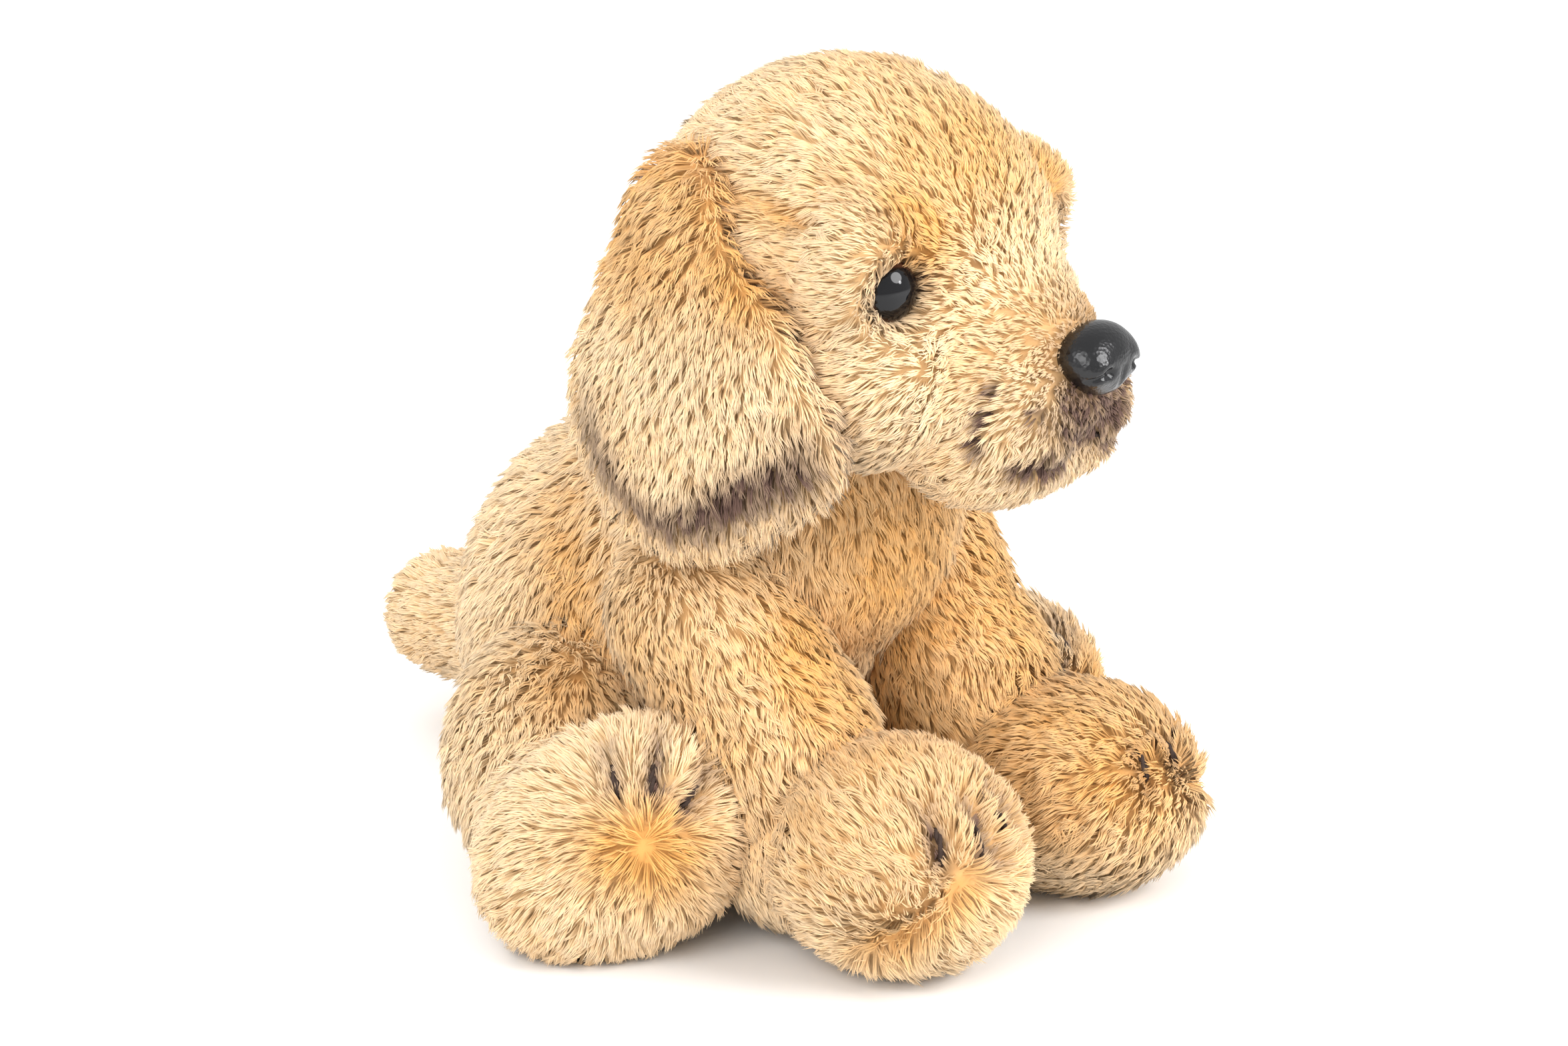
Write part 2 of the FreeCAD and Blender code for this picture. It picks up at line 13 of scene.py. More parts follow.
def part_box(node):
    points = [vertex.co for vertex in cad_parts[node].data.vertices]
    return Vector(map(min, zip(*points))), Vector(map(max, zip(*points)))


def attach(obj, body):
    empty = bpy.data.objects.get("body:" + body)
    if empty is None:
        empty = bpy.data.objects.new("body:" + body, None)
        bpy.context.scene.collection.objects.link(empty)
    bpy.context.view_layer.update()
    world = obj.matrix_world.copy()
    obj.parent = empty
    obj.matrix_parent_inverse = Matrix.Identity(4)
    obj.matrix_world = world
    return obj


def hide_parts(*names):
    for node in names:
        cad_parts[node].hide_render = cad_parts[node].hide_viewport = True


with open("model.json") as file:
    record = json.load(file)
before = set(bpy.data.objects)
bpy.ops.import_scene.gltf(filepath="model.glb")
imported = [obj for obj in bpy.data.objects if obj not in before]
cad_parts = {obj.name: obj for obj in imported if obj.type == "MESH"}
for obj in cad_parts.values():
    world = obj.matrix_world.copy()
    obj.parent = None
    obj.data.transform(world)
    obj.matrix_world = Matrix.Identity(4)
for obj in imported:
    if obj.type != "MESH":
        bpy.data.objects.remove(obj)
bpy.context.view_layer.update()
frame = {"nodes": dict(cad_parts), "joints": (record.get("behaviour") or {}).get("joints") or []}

MM = 0.001
STRANDS_PER_CLUMP = 8
BEND = 0.62                     # a strand bends over at this share of its length
SKIN_STEP = 2.0                 # spacing of the fabric skin's points
EAR_STEP = 1.6
SKIN_THICK = 1.0                # backing of the plush
ROOT_DEPTH = 0.5                # a strand starts this far under the skin
FLOOR_CLEAR = 0.25              # nothing hangs lower than this
SKIN_LOWEST = 1.2               # the fabric's backing stays this far above the floor
BURIED = 6.0                    # strands deeper than this inside another part are left out

depsgraph = bpy.context.evaluated_depsgraph_get()
joints = {joint["name"]: joint for joint in frame["joints"]}
random = np.random.default_rng(7)


# ---------------------------------------------------------------- places

class Place:
    """A local frame: an origin in millimetres, turned about the vertical."""

    def __init__(self, origin, yaw=0.0):
        self.origin = np.array(origin, float)
        c, s = math.cos(yaw), math.sin(yaw)
        self.turn = np.array([[c, -s, 0], [s, c, 0], [0, 0, 1]])

    def local(self, points):
        return (points - self.origin) @ self.turn

    def world(self, points):
        return points @ self.turn.T + self.origin

    def spin(self, vectors):
        return vectors @ self.turn.T


def pivot(joint):
    return np.array(joints[joint]["pos_m"]) / MM


def yaw_of(joint):
    """The heading of a joint whose axis points across the limb."""
    x, y = joints[joint]["axis"][:2]
    return math.atan2(-y, -x) if x < 0 else math.atan2(y, x)


def middle(node):
    low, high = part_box(node)
    return np.array((low + high) / 2) / MM


def heading(start, end):
    """The yaw that turns -Y towards a point."""
    across, back = (end - start)[:2]
    return math.atan2(across, -back)


# ---------------------------------------------------------------- distance fields

def ball(p, at, radius):
    return np.linalg.norm(p - np.array(at, float), axis=1) - radius


def oval(p, at, radii):
    q = (p - np.array(at, float)) / np.array(radii, float)
    near = np.linalg.norm(q, axis=1)
    slope = np.linalg.norm(q / np.array(radii, float), axis=1) + 1e-9
    return near * (near - 1.0) / slope


def along_line(p, a, b):
    """Distance from the line a-b, and how far along it each point is, from 0 to 1."""
    a, b = np.array(a, float), np.array(b, float)
    t = np.clip(((p - a) @ (b - a)) / ((b - a) @ (b - a)), 0.0, 1.0)
    return np.linalg.norm(p - (a + t[:, None] * (b - a)), axis=1), t


def limb(p, a, b, radius_a, radius_b):
    """A tapered rod with round ends."""
    distance, t = along_line(p, a, b)
    return distance - (radius_a + (radius_b - radius_a) * t)


def join(one, other, soft):
    h = np.clip(0.5 + 0.5 * (other - one) / soft, 0.0, 1.0)
    return other + (one - other) * h - soft * h * (1.0 - h)


def carve(one, other, soft):
    """one, with other cut out of it."""
    return -join(-one, other, soft)


def spot(p, at, radius):
    """1 at a point, fading out over a radius."""
    return np.exp(-np.sum((p - np.array(at, float)) ** 2, axis=1) / radius ** 2)


def streak(p, a, b, width):
    """1 on the line a-b, fading out over a width."""
    return np.exp(-(along_line(p, a, b)[0] / width) ** 2)


def above_floor(p, field, floor):
    return -join(-field, -(floor - p[:, 2]), 3.0)


def step_between(values, low, high):
    t = np.clip((values - low) / (high - low), 0.0, 1.0)
    return t * t * (3.0 - 2.0 * t)


def unit(vectors):
    return vectors / (np.linalg.norm(vectors, axis=1)[:, None] + 1e-9)


def ripple(p, size, seed):
    """Smooth noise from -1 to 1, with features of the given size."""
    maker = np.random.default_rng(seed)
    total = np.zeros(len(p))
    for _ in range(5):
        direction = maker.normal(size=3)
        direction /= np.linalg.norm(direction)
        phase = p @ direction * (2 * math.pi / size) * maker.uniform(0.7, 1.4)
        total += np.sin(phase + maker.uniform(0, 6.3))
    return total / 3.0


def slope_of(field, p, reach=0.4):
    grad = np.zeros_like(p)
    for axis in range(3):
        shift = np.zeros(3)
        shift[axis] = reach
        grad[:, axis] = field(p + shift) - field(p - shift)
    return grad / (2 * reach)


# ---------------------------------------------------------------- meshing a field

CORNERS = [(x, y, z) for x in (0, 1) for y in (0, 1) for z in (0, 1)]
EDGES = [(a, b) for a in CORNERS for b in CORNERS if a < b and sum(abs(i - j) for i, j in zip(a, b)) == 1]


def field_mesh(field, low, high, step):
    """Vertices and quads of the surface where a field is 0."""
    low, high = np.array(low, float), np.array(high, float)
    counts = np.ceil((high - low) / step).astype(int) + 1
    axes = [low[i] + step * np.arange(counts[i]) for i in range(3)]
    grid = np.stack(np.meshgrid(*axes, indexing="ij"), -1)
    values = field(grid.reshape(-1, 3)).reshape(counts)
    cells = counts - 1

    def corner(offset):
        x, y, z = offset
        return values[x:x + cells[0], y:y + cells[1], z:z + cells[2]]

    total = np.zeros((*cells, 3))
    number = np.zeros(cells)
    for a, b in EDGES:
        value_a, value_b = corner(a), corner(b)
        crossed = (value_a < 0) != (value_b < 0)
        t = np.where(crossed, value_a / np.where(crossed, value_a - value_b, 1.0), 0.0)
        start, run = np.array(a, float), np.array(b, float) - np.array(a, float)
        total += crossed[..., None] * (start + t[..., None] * run)
        number += crossed
    active = number > 0
    index = np.full(cells, -1)
    index[active] = np.arange(active.sum())
    where = np.argwhere(active)
    points = low + step * (where + total[active] / number[active][:, None])

    quads = []
    for axis in range(3):
        one, other = (axis + 1) % 3, (axis + 2) % 3
        inside = np.moveaxis(values < 0, (axis, one, other), (0, 1, 2))
        numbered = np.moveaxis(index, (axis, one, other), (0, 1, 2))
        here, there = inside[:-1, 1:-1, 1:-1], inside[1:, 1:-1, 1:-1]
        found = np.argwhere(here != there)
        i, j, k = found[:, 0], found[:, 1] + 1, found[:, 2] + 1
        around = ((j - 1, k - 1), (j, k - 1), (j, k), (j - 1, k))
        quad = np.stack([numbered[i, row, column] for row, column in around], 1)
        outward = here[found[:, 0], found[:, 1], found[:, 2]]
        quad[~outward] = quad[~outward][:, ::-1]
        quads.append(quad)
    quads = np.concatenate(quads)
    quads = quads[(quads >= 0).all(1)]
    for _ in range(3):
        grad = slope_of(field, points)
        move = field(points) / (np.sum(grad * grad, axis=1) + 1e-6)
        points = points - np.clip(move, -step / 2, step / 2)[:, None] * grad
    return points, quads


# ---------------------------------------------------------------- meshes in Blender

def new_object(name, points, corners, sizes, smooth=True):
    """An object from points in millimetres and faces given as one flat list of corners."""
    mesh = bpy.data.meshes.new(name)
    mesh.vertices.add(len(points))
    mesh.vertices.foreach_set("co", (points * MM).astype(np.float32).ravel())
    mesh.loops.add(len(corners))
    mesh.loops.foreach_set("vertex_index", corners.astype(np.int32))
    mesh.polygons.add(len(sizes))
    starts = np.concatenate([[0], np.cumsum(sizes)[:-1]])
    mesh.polygons.foreach_set("loop_start", starts.astype(np.int32))
    mesh.update(calc_edges=True)
    if smooth:
        mesh.polygons.foreach_set("use_smooth", np.ones(len(sizes), bool))
    item = bpy.data.objects.new(name, mesh)
    bpy.context.scene.collection.objects.link(item)
    return item


def write_values(item, name, values):
    """A value or a vector for every point, which the materials read."""
    kind = "FLOAT_VECTOR" if values.ndim == 2 else "FLOAT"
    attribute = item.data.attributes.new(name, kind, "POINT")
    attribute.data.foreach_set("vector" if values.ndim == 2 else "value", values.astype(np.float32).ravel())


def write_uv(item, coordinates, corners):
    layer = item.data.uv_layers.new(name="OFBake")
    layer.data.foreach_set("uv", coordinates[corners].astype(np.float32).ravel())


# ---------------------------------------------------------------- fur

class Coat:
    """How the pile lies on one part. Every function takes points in the part's own frame."""

    def __init__(self, comb, length=6.0, lean=72.0, density=3.4, thick=0.18, swirl=0.3,
                 dye=None, gold_and_shade=None, trim=None):
        self.comb = comb
        self.length = length
        self.lean = lean
        self.density = density
        self.thick = thick
        self.swirl = swirl
        self.dye = dye or (lambda p: np.zeros(len(p)))
        self.gold_and_shade = gold_and_shade or (lambda p: np.zeros(len(p)))
        self.trim = trim or (lambda p: np.ones(len(p)))


class Part:
    """One stuffed part: its frame, the field of its skin, its panels and its coat."""

    def __init__(self, name, body, place, field, low, high, panels, coat,
                 step=SKIN_STEP, fill=0.75, hides=()):
        self.name, self.body, self.place, self.field = name, body, place, field
        self.low, self.high, self.panels, self.coat = low, high, panels, coat
        self.step, self.fill, self.hides = step, fill, hides

    def depth(self, world_points):
        """Field value at points of the row frame, positive outside."""
        return self.field(self.place.local(world_points))


def nearest_panel(panels, points):
    """For each point, the number of the CAD panel that is nearest to it."""
    if len(panels) == 1:
        return np.zeros(len(points), int)
    distances = []
    for node in panels:
        tree = BVHTree.FromObject(frame["nodes"][node], depsgraph)
        distances.append([tree.find_nearest(Vector(p * MM))[3] for p in points])
    return np.argmin(np.array(distances), axis=0)


def clump_of(roots, count):
    """The nearest of count chosen roots, for every root."""
    chosen = random.choice(len(roots), max(1, count), replace=False)
    tree = KDTree(len(chosen))
    for number, root in enumerate(roots[chosen]):
        tree.insert(root, number)
    tree.balance()
    return chosen[np.array([tree.find(root)[1] for root in roots])]


def strand_lines(part, roots, normals):
    """Root, middle and tip of every strand, in the part's frame, gathered into clumps."""
    coat = part.coat
    count = len(roots)
    clump = clump_of(roots, count // STRANDS_PER_CLUMP)
    comb = unit(coat.comb(roots))
    swirl = np.stack([ripple(roots, 11.0, 20 + axis) for axis in range(3)], 1)
    comb = comb + coat.swirl * swirl + 0.20 * random.normal(size=(count, 3))[clump]
    comb = comb + 0.12 * random.normal(size=(count, 3))
    flat = unit(comb - np.sum(comb * normals, 1)[:, None] * normals)
    trim = coat.trim(roots)
    length = coat.length * trim * random.uniform(0.85, 1.15, count)[clump]
    length = length * random.uniform(0.88, 1.12, count)
    lean = np.radians(coat.lean * (0.72 + 0.28 * trim) + 5.0 * random.normal(size=count)[clump])
    first, last = lean * 0.70, lean * 1.10
    rise = np.cos(first)[:, None] * normals + np.sin(first)[:, None] * flat
    fall = np.cos(last)[:, None] * normals + np.sin(last)[:, None] * flat
    half = roots + rise * (BEND * length)[:, None]
    tip = half + fall * ((1.0 - BEND) * length)[:, None]
    half = half + 0.35 * (half[clump] - half)
    tip = tip + random.uniform(0.15, 0.6, count)[:, None] * (tip[clump] - tip)
    return clump, half, tip


# Points 0 to 2 go round a strand's root, 3 to 5 round its bend, and 6 is its tip.
STRAND_FACES = [(0, 1, 4), (0, 4, 3), (1, 2, 5), (1, 5, 4), (2, 0, 3), (2, 3, 5),
                (3, 4, 6), (4, 5, 6), (5, 3, 6), (0, 2, 1)]


def strand_mesh(part, roots, normals):
    """Closed three-sided strands: points, faces, and the values that the fur material reads."""
    coat = part.coat
    count = len(roots)
    clump, half, tip = strand_lines(part, roots, normals)
    base = roots - ROOT_DEPTH * normals
    run = unit(tip - base)
    side = unit(np.cross(run, normals))
    over = np.cross(run, side)
    spin = random.uniform(0, 2 * math.pi, count)
    width = coat.thick * random.uniform(0.8, 1.2, count)
    points = np.zeros((count, 7, 3))
    outward = np.zeros((count, 7, 3))
    for ring, (centre, share) in enumerate(((base, 0.8), (half, 1.0))):
        for corner in range(3):
            angle = spin + corner * 2 * math.pi / 3
            away = np.cos(angle)[:, None] * side + np.sin(angle)[:, None] * over
            points[:, ring * 3 + corner] = centre + away * (width * share)[:, None]
            outward[:, ring * 3 + corner] = away
    points[:, 6] = tip
    outward[:, 6] = run
    shading = unit((0.22 * outward + normals[:, None, :]).reshape(-1, 3))
    corners = (np.array(STRAND_FACES)[None] + 7 * np.arange(count)[:, None, None]).reshape(-1)
    stage = np.array([0, 0, 0, 0.5, 0.5, 0.5, 1.0])
    coat_values = np.zeros((count, 7, 3))
    coat_values[:, :, 0] = stage
    coat_values[:, :, 1] = random.uniform(0, 1, count)[clump][:, None]
    coat_values[:, :, 2] = np.clip(coat.dye(roots), 0, 1)[:, None]
    # Per-strand mask of darker gold: the fur's golden tint in places, and painted shade in creases and under
    # the head and ears.
    gold_and_shade = np.repeat(np.clip(coat.gold_and_shade(roots), 0, 1), 7)
    return points.reshape(-1, 3), corners, shading, coat_values.reshape(-1, 3), gold_and_shade


def atlas(items, shape):
    """A small square of the bake map for each item. shape is (u, v) in the square for each of its points."""
    across = math.ceil(math.sqrt(items))
    number = np.arange(items)
    cell = np.stack([number % across, number // across], 1)[:, None, :]
    return ((cell + np.array(shape)[None]) / across).reshape(-1, 2)


STRAND_CELL = [(0.15, 0.1), (0.85, 0.1), (0.5, 0.1), (0.15, 0.5), (0.85, 0.5), (0.5, 0.5), (0.5, 0.95)]


def backing(points, quads, normals):
    """The fabric's backing: a closed shell under a patch of quads."""
    used, quads = np.unique(quads, return_inverse=True)
    quads = quads.reshape(-1, 4)
    top = points[used]
    under = top - SKIN_THICK * normals[used]
    edges = np.concatenate([quads[:, [i, (i + 1) % 4]] for i in range(4)])
    both = np.sort(edges, axis=1)
    keys = both[:, 0].astype(np.int64) * len(used) + both[:, 1]
    _, first, uses = np.unique(keys, return_index=True, return_counts=True)
    rim = edges[first[uses == 1]]
    walls = np.stack([rim[:, 1], rim[:, 0], rim[:, 0] + len(used), rim[:, 1] + len(used)], 1)
    faces = np.concatenate([quads, quads[:, ::-1] + len(used), walls])
    return np.concatenate([top, under]), faces, np.concatenate([normals[used], -normals[used]])


def strand_roots(points, quads, density):
    """Random points on a patch of quads."""
    triangles = np.concatenate([quads[:, [0, 1, 2]], quads[:, [0, 2, 3]]])
    a, b, c = (points[triangles[:, i]] for i in range(3))
    area = np.linalg.norm(np.cross(b - a, c - a), axis=1) / 2
    count = int(area.sum() * density)
    pick = random.choice(len(triangles), count, p=area / area.sum())
    u, v = random.uniform(0, 1, (2, count))
    over = u + v > 1
    u[over], v[over] = 1 - u[over], 1 - v[over]
    return a[pick] + u[:, None] * (b - a)[pick] + v[:, None] * (c - a)[pick]


def fur_piece(part, node, points, quads, others):
    """One fabric panel with its pile, as one object that stands for its CAD panel."""
    field = part.field
    shell, shell_faces, shell_normals = backing(points, quads, unit(slope_of(field, points)))
    roots = strand_roots(points, quads, part.coat.density)
    world_roots = part.place.world(roots)
    shown = np.ones(len(roots), bool)
    for other in others:
        shown &= other.depth(world_roots) > -BURIED
    roots = roots[shown]
    strands, corners, shading, values, gold_and_shade = strand_mesh(part, roots, unit(slope_of(field, roots)))

    everything = part.place.world(np.concatenate([strands, shell]))
    everything[:, 2] = np.maximum(everything[:, 2], FLOOR_CLEAR)
    shading = part.place.spin(np.concatenate([shading, shell_normals]))
    all_corners = np.concatenate([corners, (shell_faces + len(strands)).reshape(-1)])
    sizes = np.concatenate([np.full(len(corners) // 3, 3), np.full(len(shell_faces), 4)])
    item = new_object("fur_" + node, everything, all_corners, sizes)
    shell_values = np.zeros((len(shell), 3))
    shell_values[:, 2] = np.clip(part.coat.dye(shell), 0, 1)
    write_values(item, "coat", np.concatenate([values, shell_values]))
    write_values(item, "gold_and_shade", np.concatenate([gold_and_shade, np.clip(part.coat.gold_and_shade(shell), 0, 1)]))
    strand_uv = atlas(len(roots), STRAND_CELL)
    shell_uv = np.tile([[0.999, 0.999]], (len(shell), 1))
    write_uv(item, np.concatenate([strand_uv, shell_uv]), all_corners)
    item.data.normals_split_custom_set_from_vertices(shading)
    item.data.materials.append(lining_plush() if node.startswith("ear_lining") else body_plush())
    return item


def build_part(part, parts):
    points, quads = field_mesh(part.field, part.low, part.high, part.step)
    centres = part.place.world(points[quads].mean(1))
    label = nearest_panel(part.panels, centres)
    others = [other for other in parts if other is not part and not other.name.startswith("ear")]
    for number, node in enumerate(part.panels):
        item = fur_piece(part, node, points, quads[label == number], others)
        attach(item, part.body)
        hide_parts(node)
        if number == 0 and part.hides:
            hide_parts(*part.hides)


# ---------------------------------------------------------------- materials

def node_tree(name):
    material = bpy.data.materials.new(name)
    material.use_nodes = True
    nodes, links = material.node_tree.nodes, material.node_tree.links
    shader = nodes["Principled BSDF"]
    return material, nodes, links, shader


def feed(links, socket, value):
    """Links a socket to another, or gives it a number or a colour."""
    if isinstance(value, bpy.types.NodeSocket):
        links.new(value, socket)
    else:
        socket.default_value = (*value, 1.0) if isinstance(value, tuple) else value


def mixed(nodes, links, factor, first, second, how="MIX"):
    """A colour mix. factor, first and second are numbers, colours or sockets."""
    mix = nodes.new("ShaderNodeMix")
    mix.data_type = "RGBA"
    mix.blend_type = how
    for socket, value in ((mix.inputs[0], factor), (mix.inputs[6], first), (mix.inputs[7], second)):
        feed(links, socket, value)
    return mix.outputs[2]


def ranged(nodes, links, value, low, high, to_low=0.0, to_high=1.0):
    span = nodes.new("ShaderNodeMapRange")
    links.new(value, span.inputs[0])
    for number, setting in enumerate((low, high, to_low, to_high), start=1):
        span.inputs[number].default_value = setting
    return span.outputs[0]


def noise(nodes, links, scale, detail=3.0):
    place = nodes.new("ShaderNodeTexCoord")
    texture = nodes.new("ShaderNodeTexNoise")
    texture.inputs["Scale"].default_value = scale
    texture.inputs["Detail"].default_value = detail
    links.new(place.outputs["Object"], texture.inputs["Vector"])
    return texture.outputs["Fac"]


def values_named(nodes, name):
    attribute = nodes.new("ShaderNodeAttribute")
    attribute.attribute_name = name
    return attribute


def reckoned(nodes, links, how, one, other):
    """A sum or a product, kept between 0 and 1 if it is a sum."""
    step = nodes.new("ShaderNodeMath")
    step.operation = how
    step.use_clamp = how == "ADD"
    feed(links, step.inputs[0], one)
    feed(links, step.inputs[1], other)
    return step.outputs[0]


def plush_material(name, root, middle_colour, tip, warm_root, warm_tip):
    """Pile fabric: pale tips over golden roots, airbrushed dark brown where it is dyed, and mixed towards a
    darker gold by a per-point mask. That mask holds the fur's own golden tint in places, and painted shade in
    creases and under the head and ears.
    """
    if name in bpy.data.materials:
        return bpy.data.materials[name]
    material, nodes, links, shader = node_tree(name)
    split = nodes.new("ShaderNodeSeparateXYZ")
    links.new(values_named(nodes, "coat").outputs["Vector"], split.inputs[0])
    along, lot, dye = split.outputs
    gold_and_shade = values_named(nodes, "gold_and_shade").outputs["Fac"]

    lower = ranged(nodes, links, along, 0.0, 0.5)
    upper = ranged(nodes, links, along, 0.4, 1.0)
    plain = mixed(nodes, links, upper, mixed(nodes, links, lower, root, middle_colour), tip)
    # The darker gold that the mask mixes in: the fur's golden tint, and painted shade where the mask marks
    # creases and places under the head and ears.
    warm = mixed(nodes, links, upper, warm_root, warm_tip)
    patches = ranged(nodes, links, noise(nodes, links, 55.0), 0.50, 0.72, 0.0, 0.30)
    colour = mixed(nodes, links, reckoned(nodes, links, "ADD", gold_and_shade, patches), plain, warm)
    shade = ranged(nodes, links, lot, 0.0, 1.0, 0.91, 1.04)
    grey = nodes.new("ShaderNodeCombineColor")
    for socket in grey.inputs:
        links.new(shade, socket)
    colour = mixed(nodes, links, 1.0, colour, grey.outputs[0], "MULTIPLY")
    brown = mixed(nodes, links, upper, (0.085, 0.045, 0.034), (0.20, 0.115, 0.085))
    uneven = ranged(nodes, links, lot, 0.0, 1.0, 0.75, 1.1)
    reach = reckoned(nodes, links, "MULTIPLY", dye, uneven)
    colour = mixed(nodes, links, reach, colour, brown)
    links.new(colour, shader.inputs["Base Color"])
    links.new(ranged(nodes, links, lot, 0.0, 1.0, 0.62, 0.8), shader.inputs["Roughness"])
    shader.inputs["Sheen Weight"].default_value = 0.12
    shader.inputs["Sheen Roughness"].default_value = 0.5
    shader.inputs["Sheen Tint"].default_value = (1.0, 0.93, 0.82, 1.0)
    shader.inputs["Specular IOR Level"].default_value = 0.25
    return material


def body_plush():
    return plush_material("cream_plush", (0.93, 0.60, 0.29), (0.94, 0.65, 0.36), (0.96, 0.735, 0.48),
                          (0.78, 0.39, 0.11), (0.83, 0.49, 0.19))


def lining_plush():
    return plush_material("ear_lining_plush", (0.88, 0.57, 0.29), (0.90, 0.62, 0.36), (0.93, 0.70, 0.46),
                          (0.76, 0.39, 0.13), (0.82, 0.49, 0.21))


def glossy_plastic(name, colour, roughness, grain_scale=0.0, grain=0.0):
    """Moulded plastic with a faint mottle, and a leather grain if it has one."""
    if name in bpy.data.materials:
        return bpy.data.materials[name]
    material, nodes, links, shader = node_tree(name)
    mottle = noise(nodes, links, 900.0)
    darker = tuple(channel * 0.7 for channel in colour)
    links.new(mixed(nodes, links, mottle, darker, colour), shader.inputs["Base Color"])
    rough = ranged(nodes, links, mottle, 0.3, 0.7, roughness * 0.85, roughness * 1.15)
    links.new(rough, shader.inputs["Roughness"])
    if grain:
        place = nodes.new("ShaderNodeTexCoord")
        cells = nodes.new("ShaderNodeTexVoronoi")
        cells.inputs["Scale"].default_value = grain_scale
        links.new(place.outputs["Object"], cells.inputs["Vector"])
        bump = nodes.new("ShaderNodeBump")
        bump.inputs["Strength"].default_value = grain
        bump.inputs["Distance"].default_value = 0.0003
        links.new(cells.outputs["Distance"], bump.inputs["Height"])
        links.new(bump.outputs["Normal"], shader.inputs["Normal"])
    return material


def dark_thread():
    return woven("dark_thread", (0.09, 0.05, 0.035), (0.035, 0.02, 0.014), 2500.0)


def eye_plastic():
    """Black plastic eye with a dark brown ring round its edge."""
    if "eye_plastic" in bpy.data.materials:
        return bpy.data.materials["eye_plastic"]
    material, nodes, links, shader = node_tree("eye_plastic")
    reach = values_named(nodes, "reach").outputs["Fac"]
    ring = ranged(nodes, links, reach, 0.82, 0.87)
    fleck = mixed(nodes, links, noise(nodes, links, 1500.0), (0.045, 0.016, 0.009), (0.085, 0.032, 0.018))
    links.new(mixed(nodes, links, ring, (0.004, 0.004, 0.005), fleck), shader.inputs["Base Color"])
    shader.inputs["Roughness"].default_value = 0.05
    shader.inputs["Specular IOR Level"].default_value = 0.35
    return material


def woven(name, light, dark, scale):
    """Plain woven or felted cloth."""
    if name in bpy.data.materials:
        return bpy.data.materials[name]
    material, nodes, links, shader = node_tree(name)
    place = nodes.new("ShaderNodeTexCoord")
    wave = nodes.new("ShaderNodeTexWave")
    wave.inputs["Scale"].default_value = scale
    wave.inputs["Distortion"].default_value = 1.5
    links.new(place.outputs["Object"], wave.inputs["Vector"])
    blotch = noise(nodes, links, scale / 4)
    links.new(mixed(nodes, links, wave.outputs["Fac"], dark, mixed(nodes, links, blotch, dark, light)),
              shader.inputs["Base Color"])
    bump = nodes.new("ShaderNodeBump")
    bump.inputs["Strength"].default_value = 0.5
    bump.inputs["Distance"].default_value = 0.0003
    links.new(wave.outputs["Fac"], bump.inputs["Height"])
    links.new(bump.outputs["Normal"], shader.inputs["Normal"])
    shader.inputs["Roughness"].default_value = 0.85
    return material


# ---------------------------------------------------------------- head

HEAD = Place(pivot("head_nod"), yaw_of("head_nod"))
TORSO = Place((0, 0, 0))
NOSE_AT = HEAD.local(middle("nose")[None])[0]
SIDES = {"left": 1, "right": -1}
MUZZLE_AHEAD = 35.0
MOUTH_RADIUS = 17.0
MOUTH_LIFT = 4.0                # the drawn mouth lies this far above the CAD thread
MOUTH_AT = np.array((0.0, -MUZZLE_AHEAD, HEAD.local(middle("mouth_thread")[None])[0][2]))
EYE_TURN = 20.0                 # degrees that each eye looks outwards
EYE_RADIUS = 6.0
EYE_DOME = 4.2
EYE_POINTS = 64                 # points round the eye
EYE_ROWS = 16                   # rows from the top of its dome to its rim
NOSE_REACH = 6.5                # from the middle of the nose to its front
THREAD_RADIUS = 0.7


def head_field(p):
    d = oval(p, (0, 3, 0), (35.0, 40.0, 38.0))
    for side in (-1, 1):
        d = join(d, oval(p, (side * 27.5, -18, 7), (9.5, 10, 12.5)), 7)
        d = join(d, oval(p, (side * 21, -13, -14), (15, 20, 16)), 8)
    d = join(d, oval(p, (0, -31, -7), (13.5, 19.5, 11.5)), 8)
    for side in (-1, 1):
        d = join(d, oval(p, (side * 9.5, -33, -21.5), (12, 19, 16)), 4)
    d = join(d, oval(p, (0, -39.5, -16), (12, 13.5, 10.5)), 4)
    d = join(d, oval(p, (0, -30, -29.5), (14, 17, 9.5)), 3)
    d = d + 1.4 * np.exp(-(mouth_line(p) / 2.2) ** 2)
    for word, eye in EYES.items():
        d = carve(d, ball(p, eye + SOCKET_AHEAD * eye_axes(word)[0], SOCKET_RADIUS), 2.5)
        d = d + 1.2 * spot(p, eye * INNER_CORNER, 4.0)
    for side in (-1, 1):
        d = d + 1.6 * streak(p, (side * 26, 24, 20), (side * 29, -12, 15), 3.0)
    return d


def eye_axes(word):
    """The way an eye looks, and the way across it, in the head's frame."""
    turn = math.radians(EYE_TURN) * SIDES[word]
    return np.array((math.sin(turn), -math.cos(turn), 0.0)), np.array((math.cos(turn), math.sin(turn), 0.0))


def corners_of(node):
    return np.array([vertex.co for vertex in frame["nodes"][node].data.vertices]) / MM


def eye_base(word):
    """The middle of the eye's rim: the dome's top is the CAD eye's outermost point."""
    outward = HEAD.spin(eye_axes(word)[0][None])[0]
    co = corners_of("eye_" + word)
    return HEAD.local((co[np.argmax(co @ outward)] - outward * EYE_DOME)[None])[0]


EYE_SET_BACK = np.array((0.0, 3.0, -1.0))       # the shanks pull the eyes into the stuffing
EYES = {word: eye_base(word) + EYE_SET_BACK for word in SIDES}
SOCKET_RADIUS = 8.0
SOCKET_AHEAD = 5.2              # the socket's centre, in front of the rim of the eye


def on_skin(field, points):
    """Points moved along a field's slope onto its surface."""
    for _ in range(3):
        grad = slope_of(field, points)
        points = points - (field(points) / (np.sum(grad * grad, axis=1) + 1e-6))[:, None] * grad
    return points


